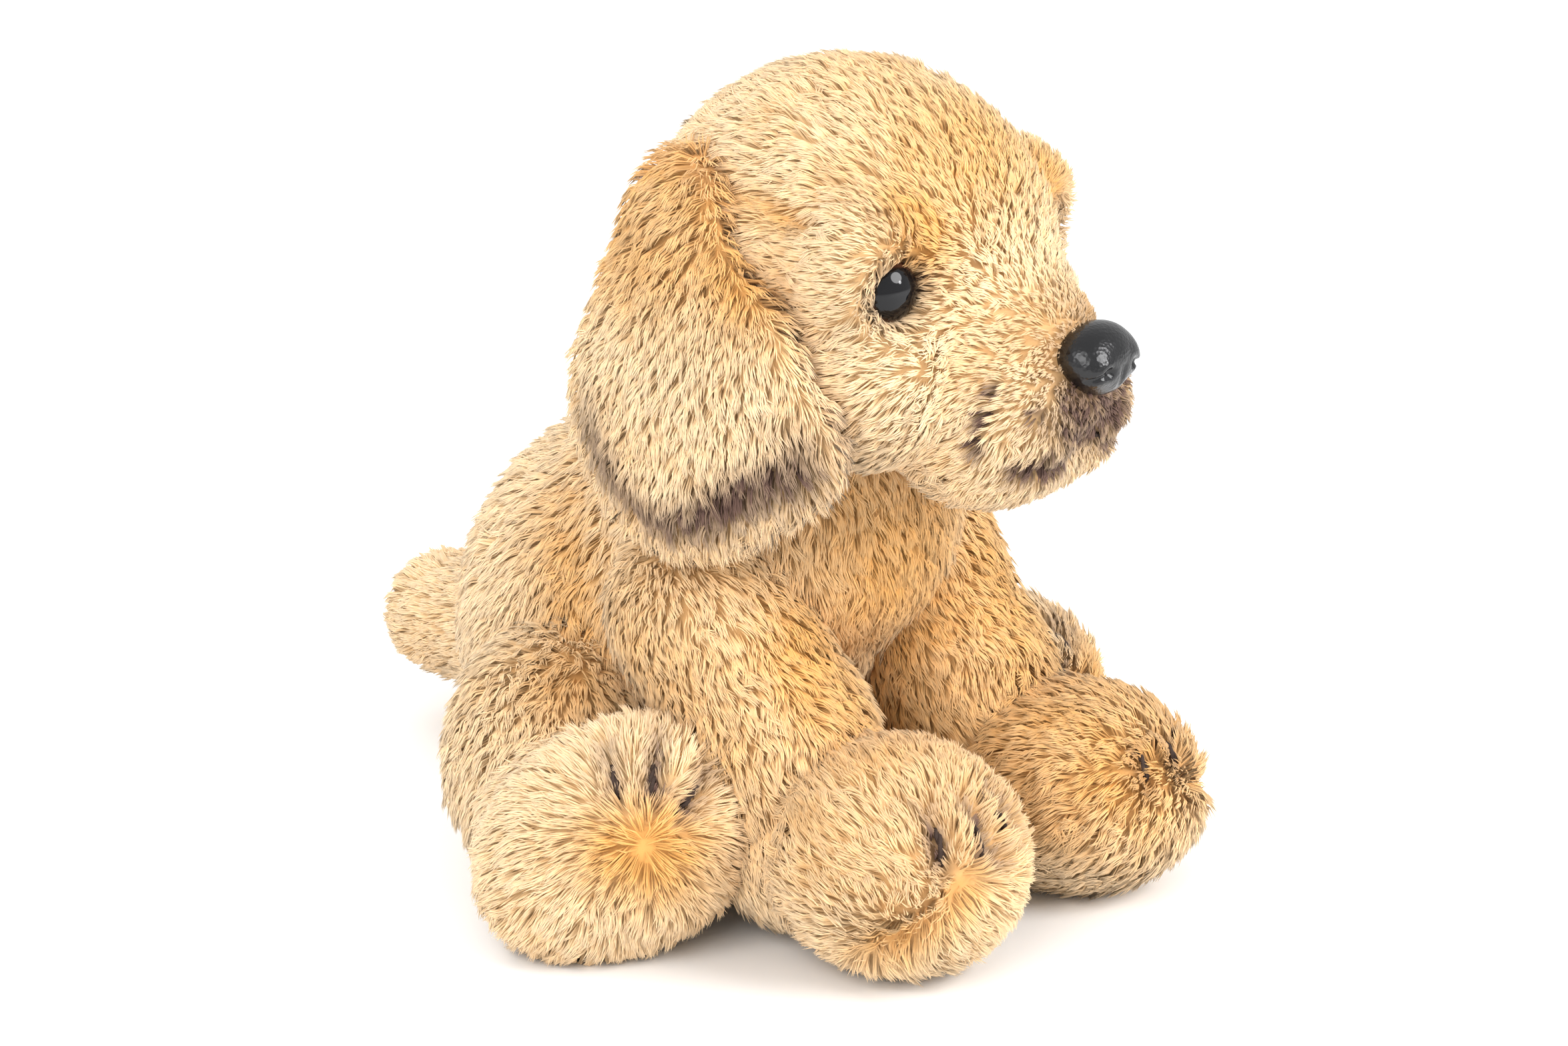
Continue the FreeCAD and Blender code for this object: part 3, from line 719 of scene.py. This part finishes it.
def head_comb(p):
    away = unit(p - NOSE_AT)
    flank = step_between(np.abs(p[:, 0]), 13, 27) * step_between(p[:, 1], -22, -8)
    high = step_between(p[:, 2], 6, 20)
    side_way = np.stack([np.zeros(len(p)), np.full(len(p), 0.75), np.full(len(p), -0.65)], 1)
    cheek_way = np.stack([np.zeros(len(p)), np.full(len(p), 0.8), np.full(len(p), -0.55)], 1)
    comb = away + (flank * high)[:, None] * 1.5 * side_way
    return comb + (1 - high)[:, None] * 0.8 * cheek_way


def head_trim(p):
    near_nose = spot(p, NOSE_AT, 15.0)
    trim = 1.0 - 0.62 * near_nose
    for eye in EYES.values():
        trim = trim * (1.0 - 0.85 * spot(p, eye, 8.0))
    front = step_between(-p[:, 1], 28, 48)
    return trim * (1.0 - 0.22 * front)


INNER_CORNER = np.array((0.74, 1.16, 1.15))     # from an eye's middle to its inner corner
# Brown spots on each side of the muzzle: how far across, ahead and up from the middle of the skull.
WHISKERS = [(18, 42.5, -15), (19, 41.5, -19.5), (19, 40.5, -24.5),
            (14, 48.5, -19), (10, 51, -22.5), (12, 49, -25)]
WHISKER_LIFT = 2.0              # the roots of a spot's strands lie this far above where their tips show


def mouth_line(p):
    """Distance from the arc of the mouth, a little above the CAD thread."""
    centre = MOUTH_AT + (0, 0, MOUTH_LIFT)
    around = np.hypot(p[:, 0] - centre[0], p[:, 1] - centre[1])
    behind = np.maximum(p[:, 1] - centre[1] + 12.0, 0.0)
    return np.sqrt(np.maximum(MOUTH_RADIUS - around, 0) ** 2 + (p[:, 2] - centre[2]) ** 2 + behind ** 2)


def head_dye(p):
    dye = 1.3 * np.exp(-(mouth_line(p) / 2.4) ** 2)
    patch = spot(p * (0.75, 1.0, 1.0), NOSE_AT + (0, -3, -8.5), 9.5) * (1.7 + 0.5 * ripple(p, 5.0, 61))
    dye = np.maximum(dye, patch)
    dye = np.maximum(dye, 0.8 * spot(p * (0.85, 1.0, 1.0), NOSE_AT + (0, -3, 1), 9.5))
    for side in (-1, 1):
        centres = on_skin(head_field, np.array(WHISKERS) * (side, -1, 1))
        for centre in centres:
            dye = np.maximum(dye, 2.0 * spot(p, centre + (0, 0, WHISKER_LIFT), 1.5))
    for eye in EYES.values():
        dye = np.maximum(dye, 1.5 * spot(p, eye, 6.6))
        dye = np.maximum(dye, 1.5 * spot(p, eye * INNER_CORNER, 2.6))
    return dye


def head_gold_and_shade(p):
    # Golden tint of the fur on the forehead, the crown, the muzzle top and a spot on each brow.
    gold_and_shade = 0.9 * spot(p * (0.7, 1.0, 1.0), (0, -28, 27), 17.0)
    gold_and_shade = np.maximum(gold_and_shade, 0.5 * spot(p, (0, -8, 42), 20.0))
    gold_and_shade = np.maximum(gold_and_shade, 0.3 * spot(p, (0, -52, -2), 16.0))
    for side in (-1, 1):
        # Painted shade: gold-brown along the groove where the ear lies against the head.
        gold_and_shade = np.maximum(gold_and_shade, 0.8 * streak(p, (side * 26, 24, 20), (side * 29, -12, 15), 4.0))
        gold_and_shade = np.maximum(gold_and_shade, spot(p, (side * 20, -27, 15), 9.5))
        # Painted shade: gold-brown on the side of the head under the ear flap.
        gold_and_shade = np.maximum(gold_and_shade, 0.75 * spot(p, (side * 31, 4, -22), 11.0))
    return gold_and_shade


# ---------------------------------------------------------------- ears

def ear_outline(p):
    """Distance from the ear's outline, seen from the side: a broad lobe with a corner in front."""
    flat = p * (0, 1, 1)
    d = ball(flat, (0, 10.5, -19), 26.5)
    d = join(d, limb(flat, (0, 20, 15), (0, 14, -8), 10.0, 21.0), 4)
    return join(d, limb(flat, (0, 10, -22), (0, -10, -23.5), 23.5, 11.5), 5)


def ear_field(side):
    """A soft flap on a wide curve."""
    centre = np.array((34.0 * -side, 5.0, -25.0))

    def field(p):
        shell = np.linalg.norm(p - centre, axis=1) - 80.0
        outline = ear_outline(p)
        sheet = np.abs(shell) - (1.6 + 1.4 * step_between(-outline, 0, 12))
        outer = np.stack([np.maximum(outline, -50), sheet], 1) + 1.2
        d = np.minimum(outer.max(1), 0) + np.linalg.norm(np.maximum(outer, 0), axis=1) - 1.2
        return np.where(p[:, 0] * side > 5, d, 40.0)

    return field


def ear_comb(p):
    spread = (p[:, 1] - 24) * 0.012
    return np.stack([np.zeros(len(p)), spread + 0.1, np.full(len(p), -1.0)], 1)


def ear_dye(p):
    """The dark band sprayed along the lower edge of the ear, above a pale fringe."""
    tips = p + (0.0, 0.5, -4.5)
    inset = -ear_outline(tips) + 1.2 * ripple(p, 20.0, 91)
    band = np.exp(-((inset - 5.0) / 4.8) ** 2)
    low = step_between(p[:, 2], -10, -24) * step_between(p[:, 1], 38, 28)
    heart = 0.75 + 0.4 * spot(p * (0, 1, 1), (0, -4, -28), 20.0)
    return np.clip(band * low * heart, 0, 0.97)


def ear_gold(p):
    return 0.65 * step_between(p[:, 2], -10, 14) + 0.2 * step_between(ear_outline(p), -6, 0)


# ---------------------------------------------------------------- body, legs and tail

def torso_field(p):
    d = ball(p, (0, 0, 43), 42.5)
    d = join(d, limb(p, (0, -2, 48), (0, -36.7, 78), 38.5, 29.0), 10)
    d = join(d, limb(p, (0, -36, 80), (0, -45, 96), 25.0, 20.0), 8)
    for side in (-1, 1):
        d = d + 2.2 * streak(p, (side * 36, -4, 84), (side * 42, -22, 48), 5.0)
    return above_floor(p, d, SKIN_LOWEST)


def torso_comb(p):
    back = step_between(p[:, 1], -30, 30)
    return np.stack([np.zeros(len(p)), -0.15 + 0.75 * back, np.full(len(p), -1.0)], 1)


def torso_painted_shade(p):
    # Painted shade, mixed in as darker gold: along the groove down each side of the chest, and on the chest
    # under the head.
    gold_and_shade = np.zeros(len(p))
    for side in (-1, 1):
        gold_and_shade = np.maximum(gold_and_shade, 0.9 * streak(p, (side * 36, -4, 84), (side * 42, -22, 48), 10.0))
    return np.maximum(gold_and_shade, 0.95 * spot(p, (0, -62, 78), 28.0))


PAW = np.array((0.0, -44.0, -38.0))
PAW_RADIUS = 22.0


def front_leg_field(side, floor):
    elbow = (-side * 1.0, -13.5, -24)
    wrist = (-side * 1.0, -20, -41)
    tall = 18.5 if side > 0 else 20.5       # the left paw lies a little flatter

    def field(p):
        d = limb(p, (0, 2, 1), elbow, 17.5, 16.5)
        d = join(d, limb(p, elbow, wrist, 16.5, 16.5), 6)
        d = join(d, oval(p, PAW + (0, 0.5, tall - PAW_RADIUS), (PAW_RADIUS, 24.0, tall)), 4)
        d = d + 1.8 * streak(p, *paw_parting(side), 3.0)
        for groove in paw_grooves(side):
            d = d + 1.8 * streak(p, *groove, 2.4)
        return above_floor(p, d, floor)

    return field


TOE_ANGLES = (-32.0, -8.0, 18.0)
STITCH_PROUD = 2.4              # a toe stitch rises this far above the skin


def paw_grooves(side):
    return [paw_groove(side, angle) for angle in TOE_ANGLES]


def paw_groove(side, angle):
    """The two ends of a groove between toes, on the upper front of a front paw."""
    turn = math.radians(angle) * -side
    way = np.array((math.sin(turn), -math.cos(turn), 0.0))
    ends = []
    for tilt in (12.0, 34.0):
        lift = math.radians(tilt)
        ends.append(PAW + PAW_RADIUS * (way * math.cos(lift) + np.array((0, 0, 1)) * math.sin(lift)))
    return ends


def paw_parting(side):
    return PAW + (side * 8, -20.5, 1), PAW + (side * 20, -6, -14)


def front_leg_comb(side):
    def comb(p):
        start, end = (np.array(point) for point in paw_parting(side))
        t = along_line(p, start, end)[1]
        away = p - (start + t[:, None] * (end - start))
        on_paw = step_between(-p[:, 1], 24, 38)[:, None]
        down = np.stack([np.zeros(len(p)), np.full(len(p), -0.55), np.full(len(p), -0.8)], 1)
        return (1 - on_paw) * down + on_paw * (unit(away) + 0.25 * down)

    return comb


def front_leg_gold_and_shade(side):
    def gold_and_shade(p):
        # The darker gold down the upper front of the leg is partly the fur's golden tint and partly painted
        # shade under the ear and head.
        front = 0.95 * streak(p, (0, -16, 2), (-side * 3, -30, -28), 14.0)
        front = np.maximum(front, (0.7 if side > 0 else 0.4) * step_between(p[:, 2], -50, -34))
        return np.maximum(front, 0.8 * streak(p, *paw_parting(side), 3.5))

    return gold_and_shade


FOOT = np.array((-8.0, -36.0, -9.5))
FOOT_TILT = math.radians(30.0)          # the toes point up and inwards


def foot_side(at, side):
    """A place on the left hind foot, carried over to the foot on the given side."""
    return np.array(at) * (side, 1, 1)


def hind_leg_field(side, floor):
    foot = foot_side(FOOT, side)
    c, s = math.cos(FOOT_TILT), math.sin(FOOT_TILT)
    lean = np.array([[c, 0, side * s], [0, 1, 0], [-side * s, 0, c]])

    def field(p):
        d = oval(p, (0, 0, -2), (20.5, 21, 22.5))
        d = join(d, limb(p, (side * 2, -6, -9), (0, -20, -12), 18.5, 18.0), 8)
        d = join(d, oval((p - foot) @ lean, (0, 0, 0), (27.5, 17.0, 20.5)), 5)
        for groove in foot_grooves(side):
            d = d + 1.8 * streak(p, *groove, 2.4)
        return above_floor(p, d, floor)

    return field


def foot_grooves(side):
    return [foot_groove(side, angle) for angle in TOE_ANGLES]


def foot_groove(side, angle):
    """The two ends of a groove between toes, near the upper inner edge of the sole."""
    turn = math.radians(angle + 25.0)
    way = np.array((-side * math.sin(turn), 0.0, math.cos(turn)))
    foot = foot_side(FOOT, side)
    return foot + 14.5 * way + (0, -13.5, 0), foot + 20.5 * way + (0, -8.5, 0)


def whorl(side):
    """The place on the sole that the pile turns away from."""
    return foot_side(FOOT, side) + (-side * 3.0, -17.0, 5.0)


def hind_leg_comb(side):
    def comb(p):
        on_foot = step_between(-p[:, 1], 20, 34)[:, None]
        down = np.stack([np.zeros(len(p)), np.full(len(p), -0.3), np.full(len(p), -0.95)], 1)
        return (1 - on_foot) * down + on_foot * (unit(p - whorl(side)) + 0.35 * down)

    return comb


def hind_leg_gold(side):
    def gold_and_shade(p):
        centre = spot(p * (0.8, 1.0, 1.0), whorl(side) * (0.8, 1.0, 1.0), 8.5)
        return np.maximum(centre, 0.75 * spot(p, (0, -14, 16), 11.0))

    return gold_and_shade


def toe_trim(grooves):
    """The pile is cropped where the toe stitches pull it in."""
    def trim(p):
        least = np.ones(len(p))
        for start, end in grooves:
            least = np.minimum(least, 1.0 - 0.65 * streak(p, start, end, 2.6))
        return least

    return trim


def toe_dye(grooves):
    """Brown sprayed round the stitches between the toes."""
    def dye(p):
        most = np.zeros(len(p))
        for start, end in grooves:
            most = np.maximum(most, streak(p, start, end, 2.9))
        return most * (0.9 + 0.3 * ripple(p, 6.0, 71))

    return dye


def tail_field(p):
    return above_floor(p, limb(p, (0, -2, 0), (0, 40, -5), 13.5, 11.5), SKIN_LOWEST - pivot("tail_wag")[2])


def tail_comb(p):
    return np.stack([p[:, 0] * 0.02, np.ones(len(p)), np.full(len(p), -0.25)], 1)


def torso_part():
    coat = Coat(torso_comb, length=6.4, gold_and_shade=torso_painted_shade)
    return Part("torso", "torso", TORSO, torso_field, (-50, -80, -3), (50, 50, 122),
                ["belly_panel", "back_panel_left", "back_panel_right"], coat,
                fill=0.8, hides=["body_stuffing"])


def head_part():
    coat = Coat(head_comb, length=5.2, density=4.2, thick=0.16, trim=head_trim, dye=head_dye, gold_and_shade=head_gold_and_shade)
    return Part("head", "head", HEAD, head_field, (-44, -66, -50), (44, 50, 46),
                ["head_centre_gusset", "chin_gusset", "head_side_left", "head_side_right"],
                coat, fill=0.9, hides=["head_stuffing"])


def tail_part():
    coat = Coat(tail_comb, length=5.4)
    return Part("tail", "tail", Place(pivot("tail_wag")), tail_field, (-20, -20, -32), (20, 58, 20),
                ["tail_upper", "tail_under"], coat, hides=["tail_stuffing"])


def ear_part(word, side):
    near, far = sorted((side * 20, side * 56))
    coat = Coat(ear_comb, length=6.0, lean=72, density=3.6, thick=0.17, swirl=0.2, dye=ear_dye, gold_and_shade=ear_gold)
    return Part("ear_" + word, "ear_" + word, HEAD, ear_field(side), (near, -32, -56), (far, 48, 36),
                ["ear_outer_" + word, "ear_lining_" + word], coat, step=EAR_STEP, fill=0.2)


def leg_panels(leg):
    return [leg + "_outer", leg + "_inner", leg + "_sole"]


def front_place(word):
    joint = "front_leg_lift_" + word
    return Place(pivot(joint), yaw_of(joint))


def front_leg_part(word, side):
    leg, place = "front_leg_" + word, front_place(word)
    grooves = paw_grooves(side)
    coat = Coat(front_leg_comb(side), trim=toe_trim(grooves), dye=toe_dye(grooves), gold_and_shade=front_leg_gold_and_shade(side))
    return Part(leg, leg, place, front_leg_field(side, SKIN_LOWEST - place.origin[2]),
                (-30, -76, -64), (30, 26, 24), leg_panels(leg), coat, hides=[leg + "_stuffing"])


def hind_place(word):
    hip = pivot("hind_leg_splay_" + word)
    return Place(hip, heading(hip, middle("hind_leg_" + word + "_sole")))


def hind_leg_part(word, side):
    leg, place = "hind_leg_" + word, hind_place(word)
    grooves = foot_grooves(side)
    coat = Coat(hind_leg_comb(side), trim=toe_trim(grooves), dye=toe_dye(grooves), gold_and_shade=hind_leg_gold(side))
    return Part(leg, leg, place, hind_leg_field(side, SKIN_LOWEST - place.origin[2]),
                (-40, -60, -36), (40, 30, 30), leg_panels(leg), coat, hides=[leg + "_stuffing"])


def all_parts():
    """Every stuffed part of the puppy."""
    parts = [torso_part(), head_part(), tail_part()]
    for word, side in SIDES.items():
        parts += [ear_part(word, side), front_leg_part(word, side), hind_leg_part(word, side)]
    return parts


# ---------------------------------------------------------------- eyes, nose and threads

def turned_piece(name, profile, base, outward, across):
    """A round piece turned about its own axis, from (radius, rise) pairs."""
    up = np.array((0.0, 0.0, 1.0))
    around = EYE_POINTS
    angle = 2 * math.pi * np.arange(around) / around
    ring = across * np.cos(angle)[:, None] + up * np.sin(angle)[:, None]
    points = np.concatenate([ring * radius + outward * rise for radius, rise in profile])
    faces = []
    for row in range(len(profile) - 1):
        for step in range(around):
            following = (step + 1) % around
            faces.append((row * around + step, (row + 1) * around + step,
                          (row + 1) * around + following, row * around + following))
    faces = np.array(faces)
    return new_object(name, HEAD.world(points + base), faces.reshape(-1), np.full(len(faces), 4))


def eye_piece(word):
    """A domed eye with a brown ring near its edge, a rolled rim and a shank behind."""
    outward, across = eye_axes(word)
    slopes = [step / EYE_ROWS * math.pi / 2 for step in range(EYE_ROWS + 1)]
    profile = [(EYE_RADIUS * math.sin(slope), EYE_DOME * math.cos(slope)) for slope in slopes]
    profile += [(EYE_RADIUS + 0.2, -0.4), (EYE_RADIUS, -0.9), (EYE_RADIUS - 0.6, -1.2)]
    profile += [(2.2, -1.5), (1.8, -5.0), (0.0, -5.2)]
    item = turned_piece("eye_dome_" + word, profile, EYES[word], outward, across)
    write_values(item, "reach", np.repeat([radius / EYE_RADIUS for radius, rise in profile], EYE_POINTS))
    item.data.materials.append(eye_plastic())
    weld(item)
    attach(item, "head")
    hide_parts("eye_" + word)


def weld(item):
    """Merges the points that fall together at a pole."""
    work = bmesh.new()
    work.from_mesh(item.data)
    bmesh.ops.remove_doubles(work, verts=work.verts, dist=0.00001)
    bmesh.ops.recalc_face_normals(work, faces=work.faces)
    work.to_mesh(item.data)
    work.free()


def nose_field(p):
    """A rounded plastic nose, broad on top, with two nostrils and a crease below."""
    d = oval(p, (0, 0, 0.6), (9.2, 6.6, 6.0))
    d = join(d, oval(p, (0, -0.5, -3.0), (5.6, 5.2, 4.2)), 3)
    for side in (-1, 1):
        d = join(d, oval(p, (side * 4.8, -2.4, -0.8), (3.9, 3.9, 3.6)), 2)
        d = carve(d, oval(p, (side * 4.4, -6.7, -1.4), (1.3, 1.6, 1.1)), 1.0)
        d = carve(d, limb(p, (side * 5.4, -6.4, -1.4), (side * 8.4, -3.4, -2.6), 0.5, 0.3), 1.0)
    return carve(d, limb(p, (0, -7.0, -1.2), (0, -5.4, -7.0), 0.6, 0.5), 1.0)


def nose_piece():
    place = Place(middle("nose"), yaw_of("head_nod"))
    forward = HEAD.spin(np.array([(0.0, -1.0, 0.0)]))[0]
    front = (corners_of("nose") @ forward).max()
    place.origin = place.origin + forward * (front - NOSE_REACH - place.origin @ forward)
    points, quads = field_mesh(nose_field, (-10, -9, -9.5), (10, 8.5, 8.5), 0.4)
    item = new_object("nose_pad", place.world(points), quads.reshape(-1), np.full(len(quads), 4))
    item.data.materials.append(glossy_plastic("nose_plastic", (0.004, 0.004, 0.005), 0.23, 1500.0, 0.2))
    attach(item, "head")
    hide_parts("nose")


def stitch_path(field, start, end, proud):
    """Points of a thread between two places, lying just proud of a skin and dipping in at both ends."""
    share = np.linspace(0.0, 1.0, 9)
    points = on_skin(field, np.array(start) + share[:, None] * (np.array(end) - np.array(start)))
    lift = proud * np.sin(math.pi * share) ** 0.5 - 0.6
    return points + unit(slope_of(field, points)) * lift[:, None]


def thread_mesh(paths, radius):
    """Two-ply threads along paths: closed tubes that wind round each other."""
    points, faces = [], []
    sides = 8
    for path in paths:
        run = unit(np.gradient(path, axis=0))
        first = unit(np.cross(run, np.array((0.3, 0.2, 0.93))))
        second = np.cross(run, first)
        far = np.concatenate([[0], np.cumsum(np.linalg.norm(np.diff(path, axis=0), axis=1))])
        for ply in (0, 1):
            turn = far / radius * 0.9 + ply * math.pi
            centre = path + 0.5 * radius * (np.cos(turn)[:, None] * first + np.sin(turn)[:, None] * second)
            base = len(points)
            for row in range(len(path)):
                for side in range(sides):
                    angle = 2 * math.pi * side / sides
                    away = math.cos(angle) * first[row] + math.sin(angle) * second[row]
                    points.append(centre[row] + away * radius * 0.62)
            for row in range(len(path) - 1):
                for side in range(sides):
                    following = (side + 1) % sides
                    low, high = base + row * sides, base + (row + 1) * sides
                    faces.append((low + side, low + following, high + following, high + side))
            last = base + (len(path) - 1) * sides
            for cap in range(1, sides - 2, 2):
                faces.append((base, base + cap + 2, base + cap + 1, base + cap))
                faces.append((last, last + cap, last + cap + 1, last + cap + 2))
    return np.array(points), np.array(faces)


def thread_piece(name, paths, place, body, node):
    points, faces = thread_mesh(paths, THREAD_RADIUS)
    item = new_object(name, place.world(points), faces.reshape(-1), np.full(len(faces), 4))
    item.data.materials.append(dark_thread())
    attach(item, body)
    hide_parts(node)


def toe_stitches(word, side):
    """The stitches over the toes of the front paw and the hind foot of one side."""
    for kind, place, field_of, grooves in (
            ("front_leg_", front_place(word), front_leg_field, paw_grooves(side)),
            ("hind_leg_", hind_place(word), hind_leg_field, foot_grooves(side))):
        leg = kind + word
        field = field_of(side, SKIN_LOWEST - place.origin[2])
        paths = [stitch_path(field, *groove, STITCH_PROUD) for groove in grooves]
        thread_piece(leg + "_stitches", paths, place, leg, leg + "_toe_threads")


def mouth_stitch():
    """The line of the mouth, a dark thread drawn tight across the front of the muzzle."""
    paths = []
    steps = np.radians(np.linspace(-38, 38, 17))
    centre = MOUTH_AT + (0, 0, MOUTH_LIFT)
    for start, end in zip(steps[:-1:2], steps[2::2]):
        ends = [centre + MOUTH_RADIUS * np.array((math.sin(angle), -math.cos(angle), 0.0))
                for angle in (start, end)]
        paths.append(stitch_path(head_field, *ends, 0.9))
    thread_piece("mouth_stitches", paths, HEAD, "head", "mouth_thread")


# ---------------------------------------------------------------- scene

def carried_over():
    """Materials for the CAD nodes that stay: fittings behind the fabric, the bean pouch and the neck."""
    washer = glossy_plastic("washer_plastic", (0.75, 0.75, 0.72), 0.45)
    for node in ("nose_washer", "eye_washer_left", "eye_washer_right"):
        set_material(frame["nodes"][node], washer)
    pouch = woven("pouch_cloth", (0.78, 0.76, 0.70), (0.55, 0.53, 0.48), 900.0)
    set_material(frame["nodes"]["bean_pouch"], pouch)
    felt = woven("neck_felt", (0.86, 0.80, 0.70), (0.70, 0.60, 0.45), 500.0)
    set_material(frame["nodes"]["neck_roll"], felt)


def set_material(item, material):
    item.data.materials.clear()
    item.data.materials.append(material)


def floor_material():
    material, nodes, links, shader = node_tree("pale_floor")
    grain = noise(nodes, links, 3.0)
    colour = mixed(nodes, links, grain, (0.93, 0.93, 0.93), (0.96, 0.96, 0.955))
    links.new(colour, shader.inputs["Base Color"])
    shader.inputs["Roughness"].default_value = 0.7
    return material


def stage():
    mesh = bpy.data.meshes.new("floor")
    reach = 6.0
    mesh.from_pydata([(-reach, -reach, 0), (reach, -reach, 0), (reach, reach, 0), (-reach, reach, 0)], [],
                     [(0, 1, 2, 3)])
    floor = bpy.data.objects.new("floor", mesh)
    bpy.context.scene.collection.objects.link(floor)
    floor.data.materials.append(floor_material())
    world = bpy.data.worlds.new("studio")
    world.use_nodes = True
    world.node_tree.nodes["Background"].inputs["Color"].default_value = (1.0, 1.0, 1.0, 1.0)
    world.node_tree.nodes["Background"].inputs["Strength"].default_value = 0.9
    bpy.context.scene.world = world
    soft_light("key", (0.35, -1.0, 0.75), 0.7, 11.0)
    soft_light("fill", (-0.9, -0.4, 0.7), 0.8, 7.0)
    soft_light("back", (0.0, 1.0, 0.9), 0.9, 6.0)
    soft_light("eye_light", (0.42, -0.95, 0.40), 0.14, 0.9)


def soft_light(name, at, width, power):
    data = bpy.data.lights.new(name, "AREA")
    data.shape = "DISK"
    data.size = width
    data.energy = power
    lamp = bpy.data.objects.new(name, data)
    lamp.location = at
    lamp.rotation_euler = (Vector((0, -0.03, 0.07)) - Vector(at)).to_track_quat("-Z", "Y").to_euler()
    bpy.context.scene.collection.objects.link(lamp)


def camera():
    """A long lens from the puppy's right front, a little above it."""
    azimuth, elevation = math.radians(-42.0), math.radians(19.0)
    distance = 0.88
    target = Vector((0.004, -0.0277, 0.070))
    back = Vector((math.sin(azimuth) * math.cos(elevation), -math.cos(azimuth) * math.cos(elevation),
                   math.sin(elevation)))
    data = bpy.data.cameras.new("camera")
    data.lens = 100.0
    data.sensor_width = 36.0
    item = bpy.data.objects.new("camera", data)
    item.location = target + back * distance
    item.rotation_euler = (-back).to_track_quat("-Z", "Y").to_euler()
    bpy.context.scene.collection.objects.link(item)
    bpy.context.scene.camera = item


def main():
    bpy.context.scene.view_settings.view_transform = "Standard"
    camera()
    stage()
    parts = all_parts()
    for part in parts:
        build_part(part, parts)
    for word, side in SIDES.items():
        eye_piece(word)
        toe_stitches(word, side)
    nose_piece()
    mouth_stitch()
    carried_over()


main()
